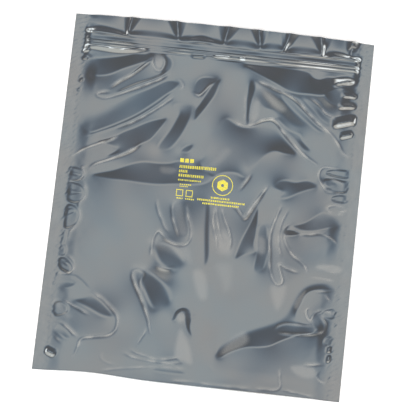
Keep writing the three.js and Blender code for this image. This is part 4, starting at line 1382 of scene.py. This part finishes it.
def mark_row_tree() -> bpy.types.GeometryNodeTree:
    """Builds the Geometry Nodes tree for one printed row: marks of random widths at even gaps."""
    tree = bpy.data.node_groups.new("printed_row", "GeometryNodeTree")
    wires = Wiring(tree)
    inputs = {"Row Length": "Float", "Mark Height": "Float", "Gap": "Float", "Narrowest": "Float",
              "Widest": "Float", "Seed": "Int", "Ink": "Material"}
    for name, kind in inputs.items():
        tree.interface.new_socket(name, in_out="INPUT", socket_type=f"NodeSocket{kind}")
    tree.interface.new_socket("Geometry", in_out="OUTPUT", socket_type="NodeSocketGeometry")
    given = wires.add("NodeGroupInput").outputs

    pitch = wires.math("ADD", given["Narrowest"], given["Gap"])
    count = wires.math("ADD", wires.math("DIVIDE", given["Row Length"], pitch), 1.0)
    line = wires.add("GeometryNodeMeshLine", {"Count": count, "Offset": (0, 0, 0)})
    drawn = {2: given["Narrowest"], 3: given["Widest"], "Seed": given["Seed"]}
    width = wires.add("FunctionNodeRandomValue", drawn, data_type="FLOAT").outputs[1]
    total = wires.add("GeometryNodeAccumulateField", {0: wires.math("ADD", width, given["Gap"])})
    end = wires.math("SUBTRACT", total.outputs["Leading"], given["Gap"])
    centre = wires.math("SUBTRACT", end, wires.math("MULTIPLY", width, 0.5))
    offset = wires.add("ShaderNodeCombineXYZ", {"X": centre}).outputs[0]
    size = wires.add("ShaderNodeCombineXYZ",
                     {"X": width, "Y": given["Mark Height"], "Z": 1.0}).outputs[0]
    past = wires.add("FunctionNodeCompare", {0: end, 1: given["Row Length"]},
                     data_type="FLOAT", operation="GREATER_THAN").outputs[0]

    sized = wires.add("GeometryNodeStoreNamedAttribute",
                      {"Geometry": line.outputs["Mesh"], "Name": "size", "Value": size},
                      data_type="FLOAT_VECTOR", domain="POINT")
    flagged = wires.add("GeometryNodeStoreNamedAttribute",
                        {"Geometry": sized.outputs[0], "Name": "past", "Value": past},
                        data_type="BOOLEAN", domain="POINT")
    placed = wires.add("GeometryNodeSetPosition", {"Geometry": flagged.outputs[0], "Position": offset})
    flag = wires.add("GeometryNodeInputNamedAttribute", {"Name": "past"}, data_type="BOOLEAN")
    trimmed = wires.add("GeometryNodeDeleteGeometry",
                        {"Geometry": placed.outputs[0], "Selection": flag.outputs["Attribute"]},
                        domain="POINT")
    patch = wires.add("GeometryNodeMeshGrid",
                      {"Size X": 1.0, "Size Y": 1.0, "Vertices X": 5, "Vertices Y": 8})
    stored = wires.add("GeometryNodeInputNamedAttribute", {"Name": "size"}, data_type="FLOAT_VECTOR")
    copies = wires.add("GeometryNodeInstanceOnPoints",
                       {"Points": trimmed.outputs[0], "Instance": patch.outputs["Mesh"],
                        "Scale": stored.outputs["Attribute"]})
    real = wires.add("GeometryNodeRealizeInstances", {"Geometry": copies.outputs[0]})
    inked = wires.add("GeometryNodeSetMaterial",
                      {"Geometry": real.outputs[0], "Material": given["Ink"]})
    wires.add("NodeGroupOutput", {"Geometry": inked.outputs[0]})
    return tree


@dataclass(frozen=True)
class PrintedRow:
    """A row of plain marks: its left end, its run, its length and its marks' sizes in millimetres."""

    left: float
    run: float
    length: float
    height: float
    narrowest: float = 0.6
    widest: float = 1.5
    gap: float = 0.6


@dataclass
class GenericPrint:
    """Plain yellow marks on the front wall: rows, two outlined boxes and a ringed hexagon.

    Lengths are in millimetres. The marks stand up from the film by the rise and reach into it by
    the sink.
    """

    sizes: BagSizes
    pouch: FilmPouch
    ink: Dressing
    rise: float = 0.05
    sink: float = 0.02
    ring_centre: Point = (13.3, 185.5)
    ring_radius: float = 9.4
    ring_line: float = 0.7
    hexagon_radius: float = 5.4
    hexagon_hole: float = 1.4
    box_centres: tuple[Point, ...] = ((-24.3, 174.6), (-15.6, 174.6))
    box_size: float = 6.2
    box_line: float = 0.65
    ring_points: int = 96
    shape_points: int = 48
    rows: tuple[PrintedRow, ...] = (
        PrintedRow(-27, 205.8, 13.5, 3.6, 2.2, 3.6, 1.0), PrintedRow(-27, 199.8, 33, 2.9),
        PrintedRow(-27, 195.4, 8, 2.5), PrintedRow(-27, 191.2, 22.5, 2.5),
        PrintedRow(-27, 186.7, 21.5, 1.5), PrintedRow(-25, 182.4, 10.5, 1.1),
        PrintedRow(-25, 180.6, 9, 0.8), PrintedRow(-26.5, 169.6, 5.5, 1.2),
        PrintedRow(-18.7, 169.6, 8.2, 1.2), PrintedRow(4, 173.4, 18, 1.6),
        PrintedRow(-8, 170.6, 43, 1.7), PrintedRow(-3, 167.6, 33, 1.6))

    def solid(self, name: str, points: Array, faces: Array) -> Object:
        """Lays flat faces on the film and gives them the ink's thickness.

        Args:
            name: The piece's name.
            points: The flat points, x and run in millimetres.
            faces: Their quads.

        Returns:
            The closed piece.
        """
        surface = self.pouch.surface_at(points[:, 0], points[:, 1])
        y = self.sizes.place(points[:, 0], points[:, 1])
        parts = MeshParts()
        top = parts.grid(points[:, 0], y, surface + self.rise)
        base = parts.grid(points[:, 0], y, surface - self.sink)
        parts.quads(*(top[faces[:, k]] for k in range(4)))
        parts.quads(*(base[faces[:, k]] for k in (3, 2, 1, 0)))
        edges = np.concatenate([faces[:, [k, (k + 1) % 4]] for k in range(4)])
        _, place, count = np.unique(np.sort(edges, 1), axis=0, return_index=True, return_counts=True)
        a, b = edges[place[count == 1]].T
        parts.quads(base[a], base[b], top[b], top[a])
        piece = parts.build(name)
        self.ink.put_on(piece)
        return piece

    def row_marks(self, tree: bpy.types.GeometryNodeTree, row: PrintedRow,
                  seed: int) -> tuple[Array, Array]:
        """Evaluates the row tree once and reads the plain mesh back.

        Args:
            tree: The row tree.
            row: The row to draw.
            seed: The seed of its marks' widths.

        Returns:
            The flat points and their quads.
        """
        holder = linked("row", bpy.data.meshes.new("row"))
        modifier = holder.modifiers.new("row", "NODES")
        modifier.node_group = tree
        values = {"Row Length": row.length, "Mark Height": row.height, "Gap": row.gap,
                  "Narrowest": row.narrowest, "Widest": row.widest, "Seed": seed,
                  "Ink": self.ink.material}
        for item in tree.interface.items_tree:
            if item.in_out == "INPUT":
                modifier[item.identifier] = values[item.name]
        depsgraph = bpy.context.evaluated_depsgraph_get()
        mesh = bpy.data.meshes.new_from_object(holder.evaluated_get(depsgraph))
        points = np.array([vertex.co for vertex in mesh.vertices])[:, :2] + (row.left, row.run)
        faces = np.array([polygon.vertices[:] for polygon in mesh.polygons])
        bpy.data.objects.remove(holder)
        return points, faces

    def build_rows(self) -> Object:
        """Makes all the printed rows as one piece."""
        tree = mark_row_tree()
        marks = [self.row_marks(tree, row, seed) for seed, row in enumerate(self.rows)]
        return self.solid("printed_rows", *self.joined(marks))

    @staticmethod
    def band(inner: Array, outer: Array, steps: int) -> tuple[Array, Array]:
        """Fills the space between two closed loops with quads."""
        share = np.linspace(0, 1, steps + 1)[:, None, None]
        loops = inner[None] * (1 - share) + outer[None] * share
        numbers = np.arange(loops[..., 0].size).reshape(loops.shape[:2])
        after = np.roll(numbers, -1, 1)
        faces = np.stack([numbers[:-1], numbers[1:], after[1:], after[:-1]], -1)
        return loops.reshape(-1, 2), faces.reshape(-1, 4)

    @staticmethod
    def loop(centre: Point, radius: float, sides: int | None, count: int) -> Array:
        """Draws a circle, or a polygon of some sides, as a closed loop of points."""
        turn = 2 * math.pi * np.arange(count) / count
        reach = np.full(count, radius)
        if sides:
            wedge = 2 * math.pi / sides
            reach = radius * math.cos(wedge / 2) / np.cos((turn + wedge / 2) % wedge - wedge / 2)
        return np.stack([centre[0] + reach * np.cos(turn), centre[1] + reach * np.sin(turn)], -1)

    def build_ring(self) -> Object:
        """Makes the ring with a hexagon in it."""
        centre = self.ring_centre
        inner_radius = self.ring_radius - self.ring_line
        ring = self.band(self.loop(centre, inner_radius, None, self.ring_points),
                         self.loop(centre, self.ring_radius, None, self.ring_points), 2)
        hexagon = self.band(self.loop(centre, self.hexagon_hole, None, self.shape_points),
                            self.loop(centre, self.hexagon_radius, 6, self.shape_points), 8)
        return self.solid("printed_ring", *self.joined([ring, hexagon]))

    def build_boxes(self) -> Object:
        """Makes the two outlined boxes."""
        reach, line = self.box_size / math.sqrt(2), self.box_line * math.sqrt(2)
        outlines = []
        for centre in self.box_centres:
            loops = [self.loop(centre, radius, 4, self.shape_points) for radius in (reach - line, reach)]
            outlines.append(self.band(*loops, 2))
        return self.solid("printed_boxes", *self.joined(outlines))

    @staticmethod
    def joined(shapes: list[tuple[Array, Array]]) -> tuple[Array, Array]:
        """Joins flat shapes into one list of points and one of faces."""
        starts = np.cumsum([0] + [len(points) for points, _ in shapes[:-1]])
        return (np.concatenate([points for points, _ in shapes]),
                np.concatenate([faces + start for (_, faces), start in zip(shapes, starts)]))


@dataclass
class PhotoView:
    """The camera: above the bag, a little below its middle, turned and rolled a few degrees.

    Angles are in degrees, the distance in metres, and the lens and its target in millimetres.
    """

    tilt: float = 16.293
    azimuth: float = 3.209
    roll: float = 3.054
    distance: float = 3.0
    target: Point = (-0.006, -5.99)
    lens: float = 286.775
    sensor: float = 36.0

    def build(self) -> None:
        """Makes the camera and hands it to the scene."""
        tilt, azimuth, roll = (math.radians(value) for value in (self.tilt, self.azimuth, self.roll))
        away = Vector((math.sin(azimuth), -math.cos(azimuth), 0))
        over = Vector((0, 0, 1))
        back = math.sin(tilt) * away + math.cos(tilt) * over
        up = math.sin(tilt) * over - math.cos(tilt) * away
        right = (-back).cross(up)
        turned_right = math.cos(roll) * right + math.sin(roll) * up
        turned_up = math.cos(roll) * up - math.sin(roll) * right
        centre = Vector((self.target[0] * MM, self.target[1] * MM, 0)) + self.distance * back
        data = bpy.data.cameras.new("camera")
        data.lens = self.lens
        data.sensor_width = self.sensor
        data.clip_start, data.clip_end = 0.05, 50.0
        camera = linked("camera", data)
        basis = Matrix((turned_right, turned_up, back)).transposed().to_4x4()
        camera.matrix_world = Matrix.Translation(centre) @ basis
        bpy.context.scene.camera = camera


@dataclass
class Studio:
    """A pale floor under a soft sky, which is what the film mirrors.

    The sky is plain white where flat film mirrors it, dim in a ring round that, and bright and warm
    beyond the ring and on the near side. A reach is the fall in a direction's Y over which the near
    wall or lamp comes in.
    """

    mirror_tilt: float = 16.3
    floor_size: float = 6.0
    floor_drop: float = 0.0003
    floor_grey: float = 0.9
    floor_glow: float = 0.12
    # Degrees from the mirrored middle, and the sky's colour there
    rings: tuple[tuple[float, Colour], ...] = (
        (0, (1.06, 1.05, 1.04)), (7, (1.03, 1.03, 1.03)), (12, (0.79, 0.84, 0.90)),
        (17, (0.46, 0.53, 0.63)), (23, (0.33, 0.35, 0.40)), (30, (0.30, 0.30, 0.31)),
        (40, (0.32, 0.32, 0.36)), (49, (1.2, 1.14, 1.06)), (55, (3.2, 3.15, 3.1)),
        (63, (3.4, 3.4, 3.4)), (68, (1.0, 0.98, 0.96)), (95, (0.62, 0.61, 0.60)))
    near_wall: Colour = (1.6, 1.5, 1.38)
    near_lamp: Colour = (3.6, 3.6, 3.6)
    near_wall_reach: tuple[float, float] = (0.34, 0.60)
    near_lamp_reach: tuple[float, float] = (0.84, 1.0)
    brightest: float = 4.0

    def scaled(self, colour: Colour) -> Colour:
        """Gives a colour as a share of the sky's brightest."""
        return tuple(value / self.brightest for value in colour)

    def build_sky(self) -> None:
        """Makes the world from the direction of each ray."""
        world = bpy.data.worlds.new("studio")
        bpy.context.scene.world = world
        world.use_nodes = True
        wires = Wiring(world.node_tree)
        tilt = math.radians(self.mirror_tilt)
        middle = (0.0, math.sin(tilt), math.cos(tilt))
        direction = wires.add("ShaderNodeTexCoord").outputs["Generated"]
        facing = wires.add("ShaderNodeVectorMath", {0: direction, 1: middle},
                           operation="DOT_PRODUCT").outputs["Value"]
        angle = wires.math("MULTIPLY", wires.math("ARCCOSINE", facing), 180 / math.pi)
        last = self.rings[-1][0]
        stops = tuple((degrees / last, self.scaled(colour)) for degrees, colour in self.rings)
        ring = wires.ramp(wires.spread(angle, 0, last), stops)
        forward = wires.add("ShaderNodeSeparateXYZ", {0: direction}).outputs["Y"]
        nearness = wires.math("SUBTRACT", middle[1], forward)
        at_wall = wires.spread(nearness, *self.near_wall_reach)
        at_lamp = wires.spread(nearness, *self.near_lamp_reach)
        wall = wires.mix(at_wall, ring, self.scaled(self.near_wall))
        sky = wires.mix(at_lamp, wall, self.scaled(self.near_lamp))
        seen = wires.add("ShaderNodeLightPath").outputs["Is Camera Ray"]
        light = wires.add("ShaderNodeBackground", {"Color": sky, "Strength": self.brightest})
        white = wires.add("ShaderNodeBackground", {"Color": (1, 1, 1, 1), "Strength": 1.0})
        both = wires.add("ShaderNodeMixShader", {0: seen, 1: light.outputs[0], 2: white.outputs[0]})
        wires.add("ShaderNodeOutputWorld", {"Surface": both.outputs[0]})

    def build_floor(self) -> None:
        """Makes the floor, which shows white and keeps the bag's shadow."""
        half = self.floor_size / 2
        mesh = bpy.data.meshes.new("floor")
        corners = [(x, y, -self.floor_drop) for x, y in ((-half, -half), (half, -half),
                                                         (half, half), (-half, half))]
        mesh.from_pydata(corners, [], [(0, 1, 2, 3)])
        floor = linked("floor", mesh)
        material = bpy.data.materials.new("floor")
        material.use_nodes = True
        wires = Wiring(material.node_tree)
        grey = (self.floor_grey, self.floor_grey, self.floor_grey, 1)
        paint = wires.add("ShaderNodeBsdfDiffuse", {"Color": grey})
        glow = wires.add("ShaderNodeEmission", {"Color": (1, 1, 1, 1), "Strength": self.floor_glow})
        shown = wires.add("ShaderNodeAddShader", {0: paint.outputs[0], 1: glow.outputs[0]})
        seen = wires.add("ShaderNodeLightPath").outputs["Is Camera Ray"]
        both = wires.add("ShaderNodeMixShader", {0: seen, 1: paint.outputs[0], 2: shown.outputs[0]})
        wires.add("ShaderNodeOutputMaterial", {"Surface": both.outputs[0]})
        mesh.materials.append(material)


def finish_mesh(piece: Object, sharp_degrees: float = 50.0) -> None:
    """Turns a closed piece's faces outwards and shades it smooth, apart from its sharp edges."""
    work = bmesh.new()
    work.from_mesh(piece.data)
    bmesh.ops.recalc_face_normals(work, faces=work.faces)
    work.to_mesh(piece.data)
    work.free()
    piece.data.shade_smooth()
    piece.data.set_sharp_from_angle(angle=math.radians(sharp_degrees))


def report(piece: Object) -> None:
    """Logs a piece's name and its number of triangles."""
    LOG.info("%s: %d triangles", piece.name, len(piece.data.polygons))


def main() -> None:
    """Builds the view, the studio, the pouch, the print and the zip's finish."""
    logging.basicConfig(level=logging.INFO, format="%(name)s %(message)s")
    bpy.context.scene.view_settings.view_transform = "Standard"
    PhotoView().build()
    studio = Studio()
    studio.build_sky()
    studio.build_floor()
    wear = handling_wear_group()

    sizes = BagSizes()
    pouch = FilmPouch(sizes, FilmRelief(sizes))
    film = pouch.build()
    finish_mesh(film)
    FilmFinish().make(wear).put_on(film)
    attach(film, "root")
    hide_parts("film_pouch")
    report(film)

    design = GenericPrint(sizes, pouch, InkFinish().make(wear))
    for piece in (design.build_rows(), design.build_ring(), design.build_boxes()):
        finish_mesh(piece)
        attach(piece, "root")
        report(piece)

    tape = TapeFinish().make(wear)
    for node in ("zip_rib_track", "zip_groove_track"):
        tape.put_on(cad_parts[node])
        report(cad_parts[node])


if __name__ == "__main__":
    main()
